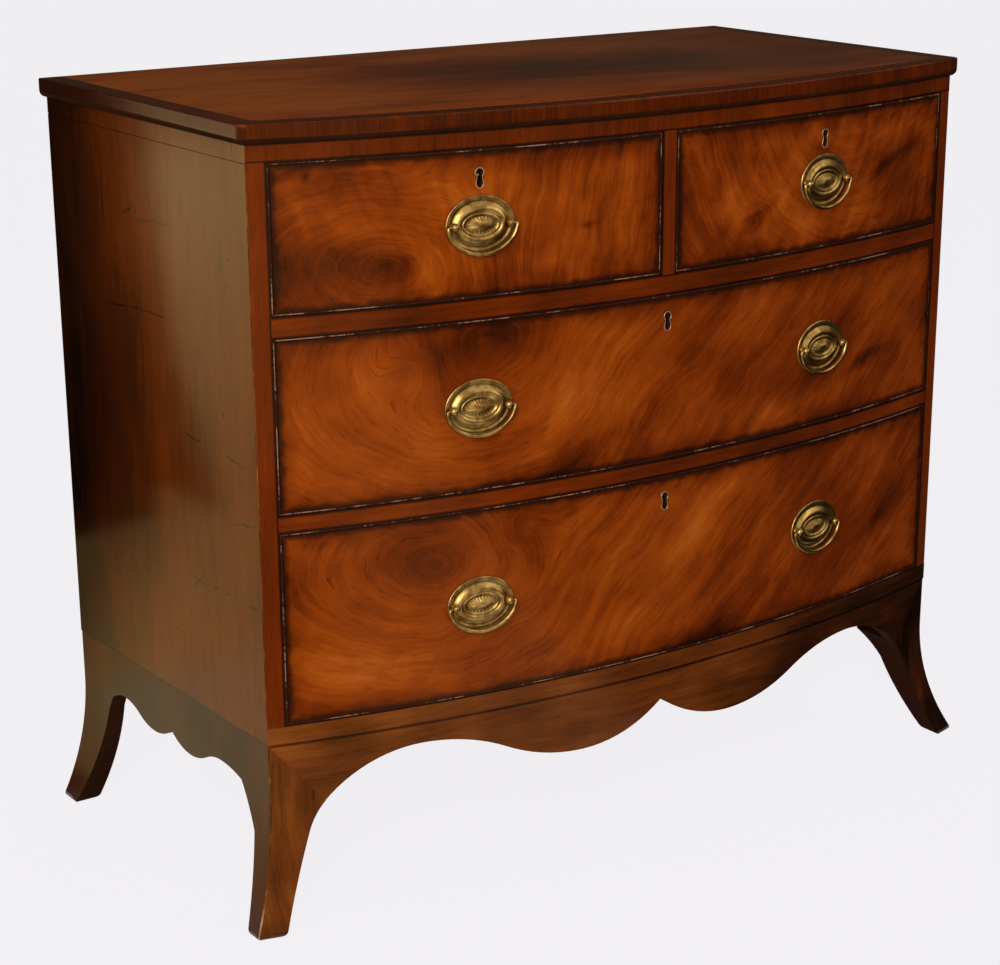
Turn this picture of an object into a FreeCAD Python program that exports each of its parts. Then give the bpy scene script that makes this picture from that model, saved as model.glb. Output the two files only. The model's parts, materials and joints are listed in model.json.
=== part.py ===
import FreeCAD, Part
import math
import os
import re

import Sketcher

# Bow front chest of drawers, millimetres. The origin is on the floor under the middle of the
# top's outline, +X to the right, -Y to the front, +Z up.

doc = FreeCAD.newDocument("bow_front_chest")
sheet = doc.addObject("Spreadsheet::Sheet", "Sizes")

driving = {
    # case
    "case_width": 1000,
    "case_depth": 470,
    "bow_depth": 69.2,
    "side_thickness": 20.6,
    "top_thickness": 22,
    "top_overhang_front": 8.8,
    "top_overhang_side": 9,
    "top_corner_round": 9,
    "top_under_ease": 7,
    "top_arris_ease": 1.2,
    # heights, from the floor up
    "base_height": 216,
    "bottom_rail_height": 21.3,
    "bottom_opening": 223,
    "lower_rail_height": 18.9,
    "middle_opening": 195,
    "upper_rail_height": 22.5,
    "short_opening": 161.9,
    "top_rail_height": 18.6,
    "rail_back": 26,
    "divider_width": 20.2,
    "bottom_board": 15,
    "back_board": 10,
    "back_board_joint": 0.6,
    "back_rebate": 10,
    "dust_board": 7,
    "groove_depth": 6,
    "scribe_line": 1,
    # running gear
    "runner_width": 34,
    "guide_height": 18,
    "stop_length": 34,
    "stop_depth": 14,
    "stop_height": 5,
    "stop_gap": 0.3,
    "stop_place": 0.62,
    # drawers
    "front_gap": 1.1,
    "run_gap": 0.3,
    "side_gap": 1.1,
    "front_thickness": 24,
    "drawer_side": 9.5,
    "drawer_back": 9,
    "drawer_bottom": 6,
    "bottom_lift": 7,
    "bottom_groove": 5,
    "side_drop": 6,
    "back_drop": 8,
    "rear_room": 14,
    "dovetail_lap": 9.5,
    "dovetail_root": 0.52,
    "dovetail_tip": 0.68,
    "bead_thickness": 3,
    "bead_proud": 2.3,
    "bead_inset": 7.5,
    # handles
    "pull_share": 0.25,
    "short_pull_shift": 1.75,
    "plate_length": 83.5,
    "plate_height": 63,
    "plate_rim": 2.4,
    "plate_cove": 1.2,
    "plate_ridge": 4.6,
    "plate_well": 3,
    "post_spacing": 67,
    "post_ball": 4.5,
    "post_neck": 3,
    "post_shank": 2,
    "post_fit": 0.2,
    "nut_width": 9,
    "nut_thickness": 3,
    "nut_seat": 0.45,
    "pivot_proud": 7.3,
    "bail_rod": 4.5,
    "bail_pin": 3.2,
    "bail_fit": 0.08,
    "bail_length": 82.5,
    "bail_drop": 31.4,
    "bail_end_radius": 24.5,
    # locks
    "keyhole_drop": 30.7,
    "keyhole_head": 5.6,
    "keyhole_foot": 5.3,
    "keyhole_spread": 12.3,
    "keyhole_head_gap": 80,
    "keyhole_foot_gap": 130,
    "thread_wall": 1.3,
    "thread_depth": 3,
    "thread_proud": 0.3,
    "lock_width": 50,
    "lock_height": 40,
    "lock_thickness": 11,
    "lock_pin": 1.2,
    "lock_pin_reach": 7,
    "bolt_width": 14,
    "bolt_thickness": 6,
    "bolt_height": 22,
    "bolt_fit": 0.3,
    "bolt_sink": 0.4,
    "bolt_travel": 7,
    # apron and feet
    "base_inset": 1,
    "apron_thickness": 20,
    "crown_drop": 24,
    "crown_share": 0.64529,
    "lobe_drop": 50,
    "lobe_share": 0.224449,
    "cusp_rise": 39,
    "knee_inset": 61.4,
    "knee_drop": 50.2,
    "calf_inset": 41.2,
    "calf_drop": 32.4,
    "knee_sweep": 100,
    "calf_sweep": 1074,
    "toe_width": 33,
    "flare_drop": 61,
    "foot_splay": 40,
    "side_crown_drop": 54.5,
    "side_crown_share": 0.259574,
    "side_lobe_drop": 19,
    "side_lobe_share": 0.097872,
    "side_cusp_rise": 15,
    "shoulder_front": 66,
    "shoulder_drop": 7.5,
    "heel_front": 33,
    "heel_drop": 50,
    "heel_sweep": 324,
    "shoulder_back": 78,
    "shoulder_back_drop": 11.5,
    "heel_back": 68,
    "heel_back_drop": 18,
    "rear_leg_thickness": 20,
    "rear_calf_drop": 86,
    "block_size": 44,
    "block_height": 56,
}

for row, (alias, number) in enumerate(driving.items(), 1):
    sheet.set(f"A{row}", alias)
    sheet.set(f"B{row}", str(number))
    sheet.setAlias(f"B{row}", alias)
doc.recompute()


def bind(text):
    """Puts the sheet's name before each alias, so that an expression reads as plain words."""
    def full(match):
        word = match.group()
        return f"Sizes.{word}" if word in driving else word
    return re.sub(r"[a-z][a-z_]+[a-z]", full, str(text))


def number(text):
    return float(sheet.evalExpression(bind(text)))


def tie(thing, **properties):
    for name, text in properties.items():
        thing.setExpression(name.replace("__", "."), bind(text))


def place(thing, x="0", y="0", z="0"):
    tie(thing, Placement__Base__x=x, Placement__Base__y=y, Placement__Base__z=z)
    return thing


# ---- shared geometry of the bow ----

half_width = "(case_width / 2)"
inner_half = f"({half_width} - side_thickness)"
corner_y = "((bow_depth + top_overhang_front - case_depth) / 2)"
back_y = f"({corner_y} + case_depth)"
boards_y = f"({back_y} - back_board)"
rail_back_y = f"({corner_y} + rail_back)"
bow_radius = "(((case_width / 2)^2 + bow_depth^2) / (2 * bow_depth))"
bow_centre = f"({corner_y} - bow_depth + {bow_radius})"

bottom_floor = "(base_height + bottom_rail_height)"
lower_rail = f"({bottom_floor} + bottom_opening)"
middle_floor = f"({lower_rail} + lower_rail_height)"
upper_rail = f"({middle_floor} + middle_opening)"
short_floor = f"({upper_rail} + upper_rail_height)"
top_rail = f"({short_floor} + short_opening)"
case_top = f"({top_rail} + top_rail_height)"


def on_bow(x, behind="0"):
    """Y of the bowed face at x, or of the surface a given depth behind it."""
    return f"({bow_centre} - sqrt(({bow_radius} - ({behind}))^2 - ({x})^2))"


# ---- modelling helpers ----

def box(label, x, y, z):
    block = doc.addObject("Part::Box", label)
    tie(block, Length=f"({x[1]}) - ({x[0]})", Width=f"({y[1]}) - ({y[0]})",
        Height=f"({z[1]}) - ({z[0]})")
    return place(block, x[0], y[0], z[0])


def drum(label, behind, z):
    """Upright cylinder about the bow's centre, whose wall lies a given depth behind the face."""
    cylinder = doc.addObject("Part::Cylinder", label)
    tie(cylinder, Radius=f"{bow_radius} - ({behind})", Height=f"({z[1]}) - ({z[0]})")
    return place(cylinder, "0", bow_centre, z[0])


def common(label, *things):
    result = doc.addObject("Part::MultiCommon", label)
    result.Shapes = list(things)
    return result


def fuse(label, *things):
    result = doc.addObject("Part::MultiFuse", label)
    result.Shapes = list(things)
    return result


def group(label, *things):
    result = doc.addObject("Part::Compound", label)
    result.Links = list(things)
    return result


def cut(label, base, *tools):
    result = doc.addObject("Part::Cut", label)
    result.Base = base
    result.Tool = tools[0] if len(tools) == 1 else group(f"{label}_tools", *tools)
    return result


def mirrored(label, thing):
    """The same piece on the other side of the chest."""
    result = doc.addObject("Part::Mirroring", label)
    result.Source = thing
    result.Normal = FreeCAD.Vector(1, 0, 0)
    return result


def outline(sketch, corners):
    """Draws a closed outline. A corner is (x, y) or (x, y, radius, turn), where the edge to the
    next corner is an arc of that radius that turns left or right. Corners and radii are bound."""
    points = [(number(corner[0]), number(corner[1])) for corner in corners]
    joints = []
    for index, corner in enumerate(corners):
        start = points[index]
        end = points[(index + 1) % len(points)]
        if len(corner) == 2:
            line = Part.LineSegment(FreeCAD.Vector(*start, 0), FreeCAD.Vector(*end, 0))
            joints.append((sketch.addGeometry(line), 1, 2))
            continue
        radius = number(corner[2])
        left = corner[3] == "left"
        chord = math.dist(start, end)
        rise = math.sqrt(radius**2 - (chord / 2)**2)
        side = 1 if left else -1
        centre = FreeCAD.Vector(
            (start[0] + end[0]) / 2 - side * rise * (end[1] - start[1]) / chord,
            (start[1] + end[1]) / 2 + side * rise * (end[0] - start[0]) / chord, 0)
        angles = [math.atan2(point[1] - centre.y, point[0] - centre.x) for point in (start, end)]
        circle = Part.Circle(centre, FreeCAD.Vector(0, 0, 1), radius)
        arc = Part.ArcOfCircle(circle, *(angles if left else angles[::-1]))
        joints.append((sketch.addGeometry(arc), 1, 2) if left else (sketch.addGeometry(arc), 2, 1))
    for index, (edge, _, finish) in enumerate(joints):
        follower, begin, _ = joints[(index + 1) % len(joints)]
        sketch.addConstraint(Sketcher.Constraint("Coincident", edge, finish, follower, begin))
    for (edge, begin, _), corner, point in zip(joints, corners, points):
        for kind, text, distance in zip(("DistanceX", "DistanceY"), corner, point):
            rule = sketch.addConstraint(Sketcher.Constraint(kind, -1, 1, edge, begin, distance))
            sketch.setExpression(f"Constraints[{rule}]", bind(text))
        if len(corner) > 2:
            rule = sketch.addConstraint(Sketcher.Constraint("Radius", edge, number(corner[2])))
            sketch.setExpression(f"Constraints[{rule}]", bind(corner[2]))


def sketched(label, plane, corners):
    """A body with one closed outline on one of its origin planes."""
    body = doc.addObject("PartDesign::Body", label)
    sketch = body.newObject("Sketcher::SketchObject", f"{label}_outline")
    support = [item for item in body.Origin.OriginFeatures if item.Role == plane][0]
    sketch.AttachmentSupport = [(support, "")]
    sketch.MapMode = "FlatFace"
    outline(sketch, corners)
    return body, sketch


def prism(label, plane, corners, length, midplane=False):
    body, sketch = sketched(label, plane, corners)
    pad = body.newObject("PartDesign::Pad", f"{label}_pad")
    pad.Profile = sketch
    pad.Midplane = midplane
    tie(pad, Length=length)
    return body


def ring_corners(half_x, half_z, sides):
    """Corners of an oval with flat sides, as expressions."""
    angles = [2 * math.pi * (step + 0.5) / sides for step in range(sides)]
    return [(f"({half_x}) * {math.cos(angle):.5f}", f"({half_z}) * {math.sin(angle):.5f}")
            for angle in angles]


def skinned(rings):
    """Solid with flat faces through rings of points, closed by the first and the last ring."""
    faces = []
    for near, far in zip(rings, rings[1:]):
        for index in range(len(near)):
            after = (index + 1) % len(near)
            corners = [near[index], near[after], far[after], far[index]]
            faces.append(Part.Face(Part.makePolygon(corners + corners[:1])))
    for ring in (rings[0], rings[-1]):
        faces.append(Part.Face(Part.makePolygon(ring + ring[:1])))
    solid = Part.Solid(Part.Shell(faces))
    if solid.Volume < 0:
        solid.reverse()
    return solid


def stacked(label, sides, rings):
    """Solid through ovals that face the front. A ring is (half width, half height, proud)."""
    feature = doc.addObject("Part::Feature", label)
    feature.Shape = skinned([
        [FreeCAD.Vector(number(x), -number(proud), number(z))
         for x, z in ring_corners(half_x, half_z, sides)]
        for half_x, half_z, proud in rings])
    return feature


def on_face(label, thing, x, z):
    """Sets a piece that is modelled at the origin on the bowed face, square to it."""
    copy = group(label, thing)
    tie(copy, Placement__Rotation__Angle=f"asin(({x}) / {bow_radius})")
    return place(copy, x, on_bow(x), z)


def bowed_board(label, x, z, back=rail_back_y):
    """Board with a bowed front edge and a straight back edge."""
    corners = [
        (x[0], on_bow(x[0]), bow_radius, "left"),
        (x[1], on_bow(x[1])),
        (x[1], back),
        (x[0], back),
    ]
    return place(prism(label, "XY_Plane", corners, f"({z[1]}) - ({z[0]})"), z=z[0])


def bowed_strip(label, x, z, face, back):
    """Strip of even thickness that follows the bow, between two depths behind the face."""
    front_radius = f"({bow_radius} - ({face}))"
    back_radius = f"({bow_radius} - ({back}))"
    corners = [
        (x[0], on_bow(x[0], face), front_radius, "left"),
        (x[1], on_bow(x[1], face)),
        (x[1], on_bow(x[1], back), back_radius, "right"),
        (x[0], on_bow(x[0], back)),
    ]
    return place(prism(label, "XY_Plane", corners, f"({z[1]}) - ({z[0]})"), z=z[0])


nodes = {}


def node(name, thing):
    thing.Label = name
    nodes[name] = thing
    return thing


def both_sides(left_name, right_name, right_piece):
    node(right_name, right_piece)
    node(left_name, mirrored(f"{left_name}_copy", right_piece))


# ---- top ----

def top_board():
    half = f"({half_width} + top_overhang_side)"
    radius = f"({bow_radius} + top_overhang_front)"
    edge_y = on_bow(half, "-top_overhang_front")
    corners = [(f"-{half}", edge_y, radius, "left"), (half, edge_y), (half, back_y),
               (f"-{half}", back_y)]
    body = prism("top", "XY_Plane", corners, "top_thickness")
    doc.recompute()

    def dressed(kind, name, size, chosen):
        base = body.Tip
        edges = [f"Edge{index}" for index, edge in enumerate(base.Shape.Edges, 1)
                 if chosen(edge.BoundBox)]
        dressing = body.newObject(f"PartDesign::{kind}", name)
        dressing.Base = (base, edges)
        tie(dressing, **{"Radius" if kind == "Fillet" else "Size": size})
        doc.recompute()

    rear = number(back_y)
    thickness = number("top_thickness")
    dressed("Fillet", "top_corners", "top_corner_round",
            lambda b: b.ZLength > thickness / 2 and b.YMax < rear - 1)
    dressed("Chamfer", "top_under_edge", "top_under_ease",
            lambda b: b.ZMax < 0.01 and b.YMin < rear - 1)
    dressed("Chamfer", "top_arris", "top_arris_ease",
            lambda b: b.ZMin > thickness - 0.01 and b.YMin < rear - 1)
    return place(body, z=case_top)


node("top_board", top_board())


# ---- case ----

def side_panel():
    """Right side: its front edge is the stile, and the top and bottom rails lap over its ends."""
    front_y = f"({corner_y} - bow_depth)"
    corners = [
        (rail_back_y, "base_height"),
        (back_y, "base_height"),
        (back_y, case_top),
        (rail_back_y, case_top),
        (rail_back_y, top_rail),
        (front_y, top_rail),
        (front_y, bottom_floor),
        (rail_back_y, bottom_floor),
    ]
    panel = place(prism("side_board", "YZ_Plane", corners, "side_thickness"), x=inner_half)
    rebate = box("side_rebate", (inner_half, f"{inner_half} + back_rebate"),
                 (boards_y, f"{back_y} + 1"), ("base_height", case_top))
    scribe = box("side_scribe", (f"{half_width} - scribe_line", f"{half_width} + 1"),
                 (corner_y, back_y), (f"{top_rail} - scribe_line", top_rail))
    faced = common("side_faced", panel, drum("side_bow", "0", ("base_height", case_top)))
    return cut("side_cut", faced, rebate, scribe)


both_sides("side_left", "side_right", side_panel())


def back_boards():
    boards = []
    count = 4
    width = f"(({case_top} - base_height) / {count})"
    reach = f"({inner_half} + back_rebate)"
    for index in range(count):
        low = f"base_height + {index} * {width}"
        boards.append(box(f"back_board_{index}", (f"-{reach}", reach), (boards_y, back_y),
                          (low, f"{low} + {width} - back_board_joint * {min(count - 1 - index, 1)}")))
    return group("boards", *boards)


node("back_boards", back_boards())
node("case_bottom", box("bottom_panel", (f"-{inner_half}", inner_half), (rail_back_y, boards_y),
                        ("base_height", "base_height + bottom_board")))

levels = {
    "lower": (lower_rail, middle_floor, "lower_rail_height"),
    "upper": (upper_rail, short_floor, "upper_rail_height"),
}


def dust_board(level):
    low, high, height = levels[level]
    centre = f"({low} + {height} / 2)"
    reach = f"({inner_half} - runner_width + groove_depth)"
    return box(f"dust_{level}", (f"-{reach}", reach), (f"{rail_back_y} - groove_depth", boards_y),
               (f"{centre} - dust_board / 2", f"{centre} + dust_board / 2"))


dust_boards = {level: dust_board(level) for level in levels}
node("dust_boards", group("dust", *dust_boards.values()))


# ---- locks: case, drill pin, bolt and brass thread, modelled square at the origin with the
#      drawer's top edge at z = 0 ----

lock_front = "(front_thickness - lock_thickness)"
bolt_front = f"({lock_front} + (lock_thickness - bolt_thickness) / 2)"


def keyhole(label, wall, y):
    """Keyhole-shaped bar with a faceted head and foot, the wall's thickness inside the brass."""
    def curve(radius, centre, towards, gap, steps):
        start = towards + number(gap) / 2
        turn = 360 - number(gap)
        angles = [math.radians(start + turn * step / steps) for step in range(steps + 1)]
        return [(f"({radius} - {wall}) * {math.cos(angle):.5f}",
                 f"{centre} + ({radius} - {wall}) * {math.sin(angle):.5f}") for angle in angles]

    head = curve("keyhole_head", "keyhole_spread / 2", -90, "keyhole_head_gap", 4)
    foot = curve("keyhole_foot", "-keyhole_spread / 2", 90, "keyhole_foot_gap", 2)
    body = prism(label, "XZ_Plane", head + foot, f"({y[1]}) - ({y[0]})")
    return place(body, y=y[1], z="-keyhole_drop")


def bolt_room(label, clearance, low, high):
    half = f"(bolt_width / 2 + {clearance})"
    depth = (f"{bolt_front} - {clearance}", f"{bolt_front} + bolt_thickness + {clearance}")
    return box(label, (f"-{half}", half), depth, (low, high))


lock_case = cut("lock_case", fuse(
    "lock_blank",
    box("lock_body", ("-lock_width / 2", "lock_width / 2"), (lock_front, "front_thickness"),
        ("-lock_height", "0")),
    place(prism("lock_pin", "XZ_Plane", ring_corners("lock_pin", "lock_pin", 6),
                "lock_pin_reach"), y=lock_front, z="keyhole_spread / 2 - keyhole_drop")),
    bolt_room("bolt_slot", "bolt_fit", "-bolt_height - 1", "1"))
bolt = bolt_room("bolt_bar", "0", "-bolt_height - bolt_sink", "-bolt_sink")
thread = cut("brass_thread",
             keyhole("thread_outer", "0", ("-thread_proud", "thread_depth")),
             keyhole("thread_inner", "thread_wall", ("-thread_proud - 1", "thread_depth + 1")))
lock_cavity = group(
    "lock_cavity",
    box("lock_recess", ("-lock_width / 2", "lock_width / 2"), (lock_front, "front_thickness + 2"),
        ("-lock_height", "1")),
    keyhole("thread_recess", "0", ("-2", "thread_depth")),
    keyhole("key_way", "thread_wall", ("-2", f"{lock_front} + 1")))
mortise_blank = bolt_room("mortise_blank", "bolt_fit * 4", "-1", "front_gap + bolt_travel + 1")

short_pull = f"(({inner_half} + divider_width / 2) / 2 + short_pull_shift)"
long_pull = "(case_width * pull_share)"
lock_places = {
    "short_left": (f"-{short_pull}", top_rail),
    "short_right": (short_pull, top_rail),
    "middle": ("0", upper_rail),
    "bottom": ("0", lower_rail),
}


def at_lock(label, thing, drawer_name):
    x, opening_top = lock_places[drawer_name]
    return on_face(label, thing, x, f"{opening_top} - front_gap")


mortises = {name: at_lock(f"mortise_{name}", mortise_blank, name) for name in lock_places}


# ---- rails, runners and stops ----

full = (f"-{half_width}", half_width)
between = (f"-{inner_half}", inner_half)
divider_half = "(divider_width / 2)"

node("top_rail", cut("top_rail_cut", bowed_board("top_rail_board", full, (top_rail, case_top)),
                     mortises["short_left"], mortises["short_right"]))
node("drawer_rail_upper", cut(
    "upper_cut", bowed_board("upper_board", between, (upper_rail, short_floor)),
    dust_boards["upper"], mortises["middle"]))
node("drawer_rail_lower", cut(
    "lower_cut", bowed_board("lower_board", between, (lower_rail, middle_floor)),
    dust_boards["lower"], mortises["bottom"]))
node("bottom_rail", bowed_board("bottom_rail_board", full, ("base_height", bottom_floor)))
node("centre_divider", bowed_board("divider_board", (f"-{divider_half}", divider_half),
                                   (short_floor, top_rail)))


def runners():
    """Runners flush with the rails, a guide between the short drawers and kickers under the top."""
    run = (rail_back_y, boards_y)
    inner = f"({inner_half} - runner_width)"
    middle = ("-runner_width", "runner_width")
    right = (inner, inner_half)
    left = (f"-{inner_half}", f"-{inner}")
    pieces = []
    for side, across in (("left", left), ("right", right)):
        pieces.append(box(f"bottom_runner_{side}", across, run,
                          ("base_height + bottom_board", bottom_floor)))
        pieces.append(box(f"kicker_{side}", across, run, (top_rail, case_top)))
        for level, (low, high, _) in levels.items():
            pieces.append(cut(f"{level}_runner_{side}",
                              box(f"{level}_runner_{side}_bar", across, run, (low, high)),
                              dust_boards[level]))
    over_dust = f"{upper_rail} + upper_rail_height / 2 + dust_board / 2"
    pieces.append(box("centre_runner", middle, run, (over_dust, short_floor)))
    pieces.append(box("centre_guide", (f"-{divider_half}", divider_half), run,
                      (short_floor, f"{short_floor} + guide_height")))
    pieces.append(box("centre_kicker", middle, run, (top_rail, case_top)))
    return group("runner_set", *pieces)


node("drawer_runners", runners())


def stops():
    """Small blocks on the rails that the drawer fronts close against."""
    block = box("stop_block", ("-stop_length / 2", "stop_length / 2"),
                ("front_thickness + stop_gap", "front_thickness + stop_gap + stop_depth"),
                ("0", "stop_height"))
    pieces = []
    for floor_name, floor in (("bottom", bottom_floor), ("middle", middle_floor),
                              ("short", short_floor)):
        for side, sign in (("left", "-"), ("right", "")):
            pieces.append(on_face(f"stop_{floor_name}_{side}", block,
                                  f"{sign}{half_width} * stop_place", floor))
    return group("stop_set", *pieces)


node("drawer_stops", stops())


# ---- base: aprons and splay feet ----

face_x = f"({half_width} - base_inset)"
flare_start = "(base_height - flare_drop)"
flare_radius = f"(({flare_start}^2 + foot_splay^2) / (2 * foot_splay))"
block_floor = "(base_height - block_height)"
crown_place = f"({face_x} * crown_share)"
crown_height = "(base_height - crown_drop)"
lobe_place = f"({face_x} * lobe_share)"
lobe_height = f"({crown_height} - lobe_drop)"
cusp_height = f"({lobe_height} + cusp_rise)"
knee_place = f"({face_x} - knee_inset)"
knee_height = f"({crown_height} - knee_drop)"
calf_place = f"({face_x} - calf_inset)"
calf_height = f"({knee_height} - calf_drop)"
side_crown_place = "(case_depth * side_crown_share)"
side_crown_height = "(base_height - side_crown_drop)"
side_lobe_place = "(case_depth * side_lobe_share)"
side_lobe_height = f"({side_crown_height} - side_lobe_drop)"
side_cusp_height = f"({side_lobe_height} + side_cusp_rise)"
shoulder_height = f"({side_crown_height} - shoulder_drop)"
shoulder_back_height = f"({side_crown_height} - shoulder_back_drop)"
heel_height = f"({shoulder_height} - heel_drop)"
heel_back_height = f"({shoulder_back_height} - heel_back_drop)"
rear_calf_height = "(base_height - rear_calf_drop)"
splay_x = f"({face_x} + foot_splay)"
side_middle = f"({corner_y} + case_depth / 2)"


def tangent_radius(run, rise):
    """Radius of an arc that leaves a level tangent and climbs by rise over run."""
    return f"((({run})^2 + ({rise})^2) / (2 * ({rise})))"


def half_radius(run, rise):
    """Radius of the two equal arcs of an S that joins two level tangents."""
    return f"((({run})^2 + ({rise})^2) / (4 * ({rise})))"


def front_curve():
    """Lower edge of the front apron's right half, from its middle point to the knee."""
    rise = f"({crown_height} - {lobe_height})"
    swing = half_radius(f"{crown_place} - {lobe_place}", rise)
    drop = f"({crown_height} - {knee_height})"
    return [
        ("0", cusp_height, tangent_radius(lobe_place, f"{cusp_height} - {lobe_height}"), "left"),
        (lobe_place, lobe_height, swing, "left"),
        (f"({lobe_place} + {crown_place}) / 2", f"({lobe_height} + {crown_height}) / 2", swing, "right"),
        (crown_place, crown_height, tangent_radius(f"{knee_place} - {crown_place}", drop), "right"),
        (knee_place, knee_height),
    ]


def mirrored_curve(corners, about="0"):
    """The same edge run backwards on the other side of an upright line."""
    result = []
    for index in range(len(corners) - 1, 0, -1):
        x, z = corners[index][:2]
        edge = corners[index - 1][2:]
        result.append((f"(2 * {about} - {x})", z, *edge))
    x, z = corners[0][:2]
    return result + [(f"(2 * {about} - {x})", z)]


def apron_front():
    right = front_curve()
    left = mirrored_curve(right)
    lower_edge = left[:-1] + right
    corners = lower_edge + [(face_x, "base_height"), (f"-{face_x}", "base_height")]
    profile = prism("apron_front_profile", "XZ_Plane", corners, "case_depth * 2", True)
    strip = bowed_strip("apron_front_strip", (f"-{face_x}", face_x), ("0", "base_height"),
                        "base_inset", "base_inset + apron_thickness")
    return common("apron_front_shape", strip, profile)


apron_front_piece = node("apron_front", apron_front())

shoulder_y = f"({corner_y} + shoulder_front)"
back_shoulder_y = f"({back_y} - shoulder_back)"


def apron_side():
    """Right side apron: a point in the middle, a lobe and a crown to each side of it."""
    rise = f"({side_crown_height} - {side_lobe_height})"
    swing = half_radius(f"{side_crown_place} - {side_lobe_place}", rise)
    half_swing = f"(({side_lobe_place} + {side_crown_place}) / 2)"
    mid_height = f"(({side_lobe_height} + {side_crown_height}) / 2)"
    tip = tangent_radius(side_lobe_place, f"{side_cusp_height} - {side_lobe_height}")
    back_crown = f"({side_middle} + {side_crown_place})"
    front_crown = f"({side_middle} - {side_crown_place})"
    back_fall = tangent_radius(f"{back_shoulder_y} - {back_crown}",
                               f"{side_crown_height} - {shoulder_back_height}")
    front_fall = tangent_radius(f"{front_crown} - {shoulder_y}",
                                f"{side_crown_height} - {shoulder_height}")
    corners = [
        (shoulder_y, shoulder_height, front_fall, "right"),
        (front_crown, side_crown_height, swing, "right"),
        (f"{side_middle} - {half_swing}", mid_height, swing, "left"),
        (f"{side_middle} - {side_lobe_place}", side_lobe_height, tip, "left"),
        (side_middle, side_cusp_height, tip, "left"),
        (f"{side_middle} + {side_lobe_place}", side_lobe_height, swing, "left"),
        (f"{side_middle} + {half_swing}", mid_height, swing, "right"),
        (back_crown, side_crown_height, back_fall, "right"),
        (back_shoulder_y, shoulder_back_height),
        (back_y, "base_height"),
        (corner_y, "base_height"),
    ]
    body = prism("apron_side_profile", "YZ_Plane", corners, "apron_thickness")
    place(body, x=f"{face_x} - apron_thickness")
    return cut("apron_side_shape", body, apron_front_piece)


both_sides("apron_left", "apron_right", apron_side())


def leg_front_view(inner_edge):
    """Outline of a right foot from the front, swept out to its toe on the outer side."""
    return inner_edge + [
        (splay_x, "0", flare_radius, "right"),
        (face_x, flare_start),
        (face_x, "base_height"),
    ]


def foot_front():
    """Right front foot: swept out to the side and forward, with a mitred wing on each face."""
    toe_inner = f"({splay_x} - toe_width)"
    knee = [
        (knee_place, knee_height, "knee_sweep", "right"),
        (calf_place, calf_height, "calf_sweep", "left"),
        (toe_inner, "0"),
    ]
    front_view = prism("foot_front_face", "XZ_Plane", leg_front_view(knee), "case_depth * 2", True)
    far_front = f"({corner_y} - foot_splay * 3)"
    toe_back = f"({corner_y} + toe_width - foot_splay)"
    side_view = prism("foot_front_side", "YZ_Plane", [
        (far_front, "0"),
        (toe_back, "0", "heel_sweep", "left"),
        (f"{corner_y} + heel_front", heel_height),
        (shoulder_y, shoulder_height),
        (corner_y, "base_height"),
        (far_front, "base_height"),
    ], "case_width * 2", True)
    skin = place(prism("foot_front_skin", "YZ_Plane", [
        ("-foot_splay", "0", flare_radius, "left"),
        ("0", flare_start),
        ("0", "base_height"),
        ("case_depth", "base_height"),
        ("case_depth", "0"),
    ], "case_width", True), y="base_inset")
    skin = on_face("foot_front_swept_skin", skin, f"({half_width} + {knee_place} + base_inset * 2) / 2",
                   "0")
    pocket = box("foot_front_pocket",
                 (f"{face_x} - apron_thickness - block_size", f"{face_x} - apron_thickness"),
                 (f"{corner_y} + apron_thickness", f"{corner_y} + apron_thickness + block_size"),
                 (block_floor, "base_height + 1"))
    return cut("foot_front_shape", common("foot_front_solid", front_view, side_view, skin), pocket)


both_sides("foot_front_left", "foot_front_right", foot_front())

def foot_rear():
    """Right rear foot: swept out to the side only, flat behind."""
    inner = f"({face_x} - rear_leg_thickness)"
    sweep = f"({splay_x} - toe_width - {inner})"
    calf = [
        (inner, "base_height"),
        (inner, rear_calf_height, tangent_radius(rear_calf_height, sweep), "left"),
        (f"({splay_x} - toe_width)", "0"),
    ]
    front_view = prism("foot_rear_face", "XZ_Plane", leg_front_view(calf), "case_depth * 2", True)
    side_view = prism("foot_rear_side", "YZ_Plane", [
        (f"{back_y} - toe_width", "0"),
        (back_y, "0"),
        (back_y, "base_height"),
        (back_shoulder_y, shoulder_back_height),
        (f"{back_y} - heel_back", heel_back_height),
    ], "case_width * 2", True)
    return common("foot_rear_shape", front_view, side_view)


both_sides("foot_rear_left", "foot_rear_right", foot_rear())


def glue_blocks():
    """Blocks that hold the feet and the front apron to the underside of the case."""
    inside = f"({face_x} - apron_thickness)"
    near = (f"{corner_y} + apron_thickness", f"{corner_y} + apron_thickness + block_size")
    far = (f"{back_y} - block_size * 1.5", f"{back_y} - block_size / 2")
    pieces = []
    for label, y in (("front", near), ("rear", far)):
        right = box(f"block_{label}_right", (f"{inside} - block_size", inside), y,
                    (block_floor, "base_height"))
        pieces += [right, mirrored(f"block_{label}_left", right)]
    small = box("apron_block", ("-block_size / 2", "block_size / 2"),
                ("base_inset + apron_thickness + stop_gap",
                 "base_inset + apron_thickness + block_size / 2"),
                (f"{cusp_height} + 10", "base_height"))
    for index, share in enumerate(("-0.6", "-0.2", "0.2", "0.6")):
        pieces.append(on_face(f"apron_block_{index}", small, f"{half_width} * {share}", "0"))
    return group("block_set", *pieces)


node("glue_blocks", glue_blocks())


# ---- handles, modelled square at the origin with the plate's back at y = 0 ----

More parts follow.
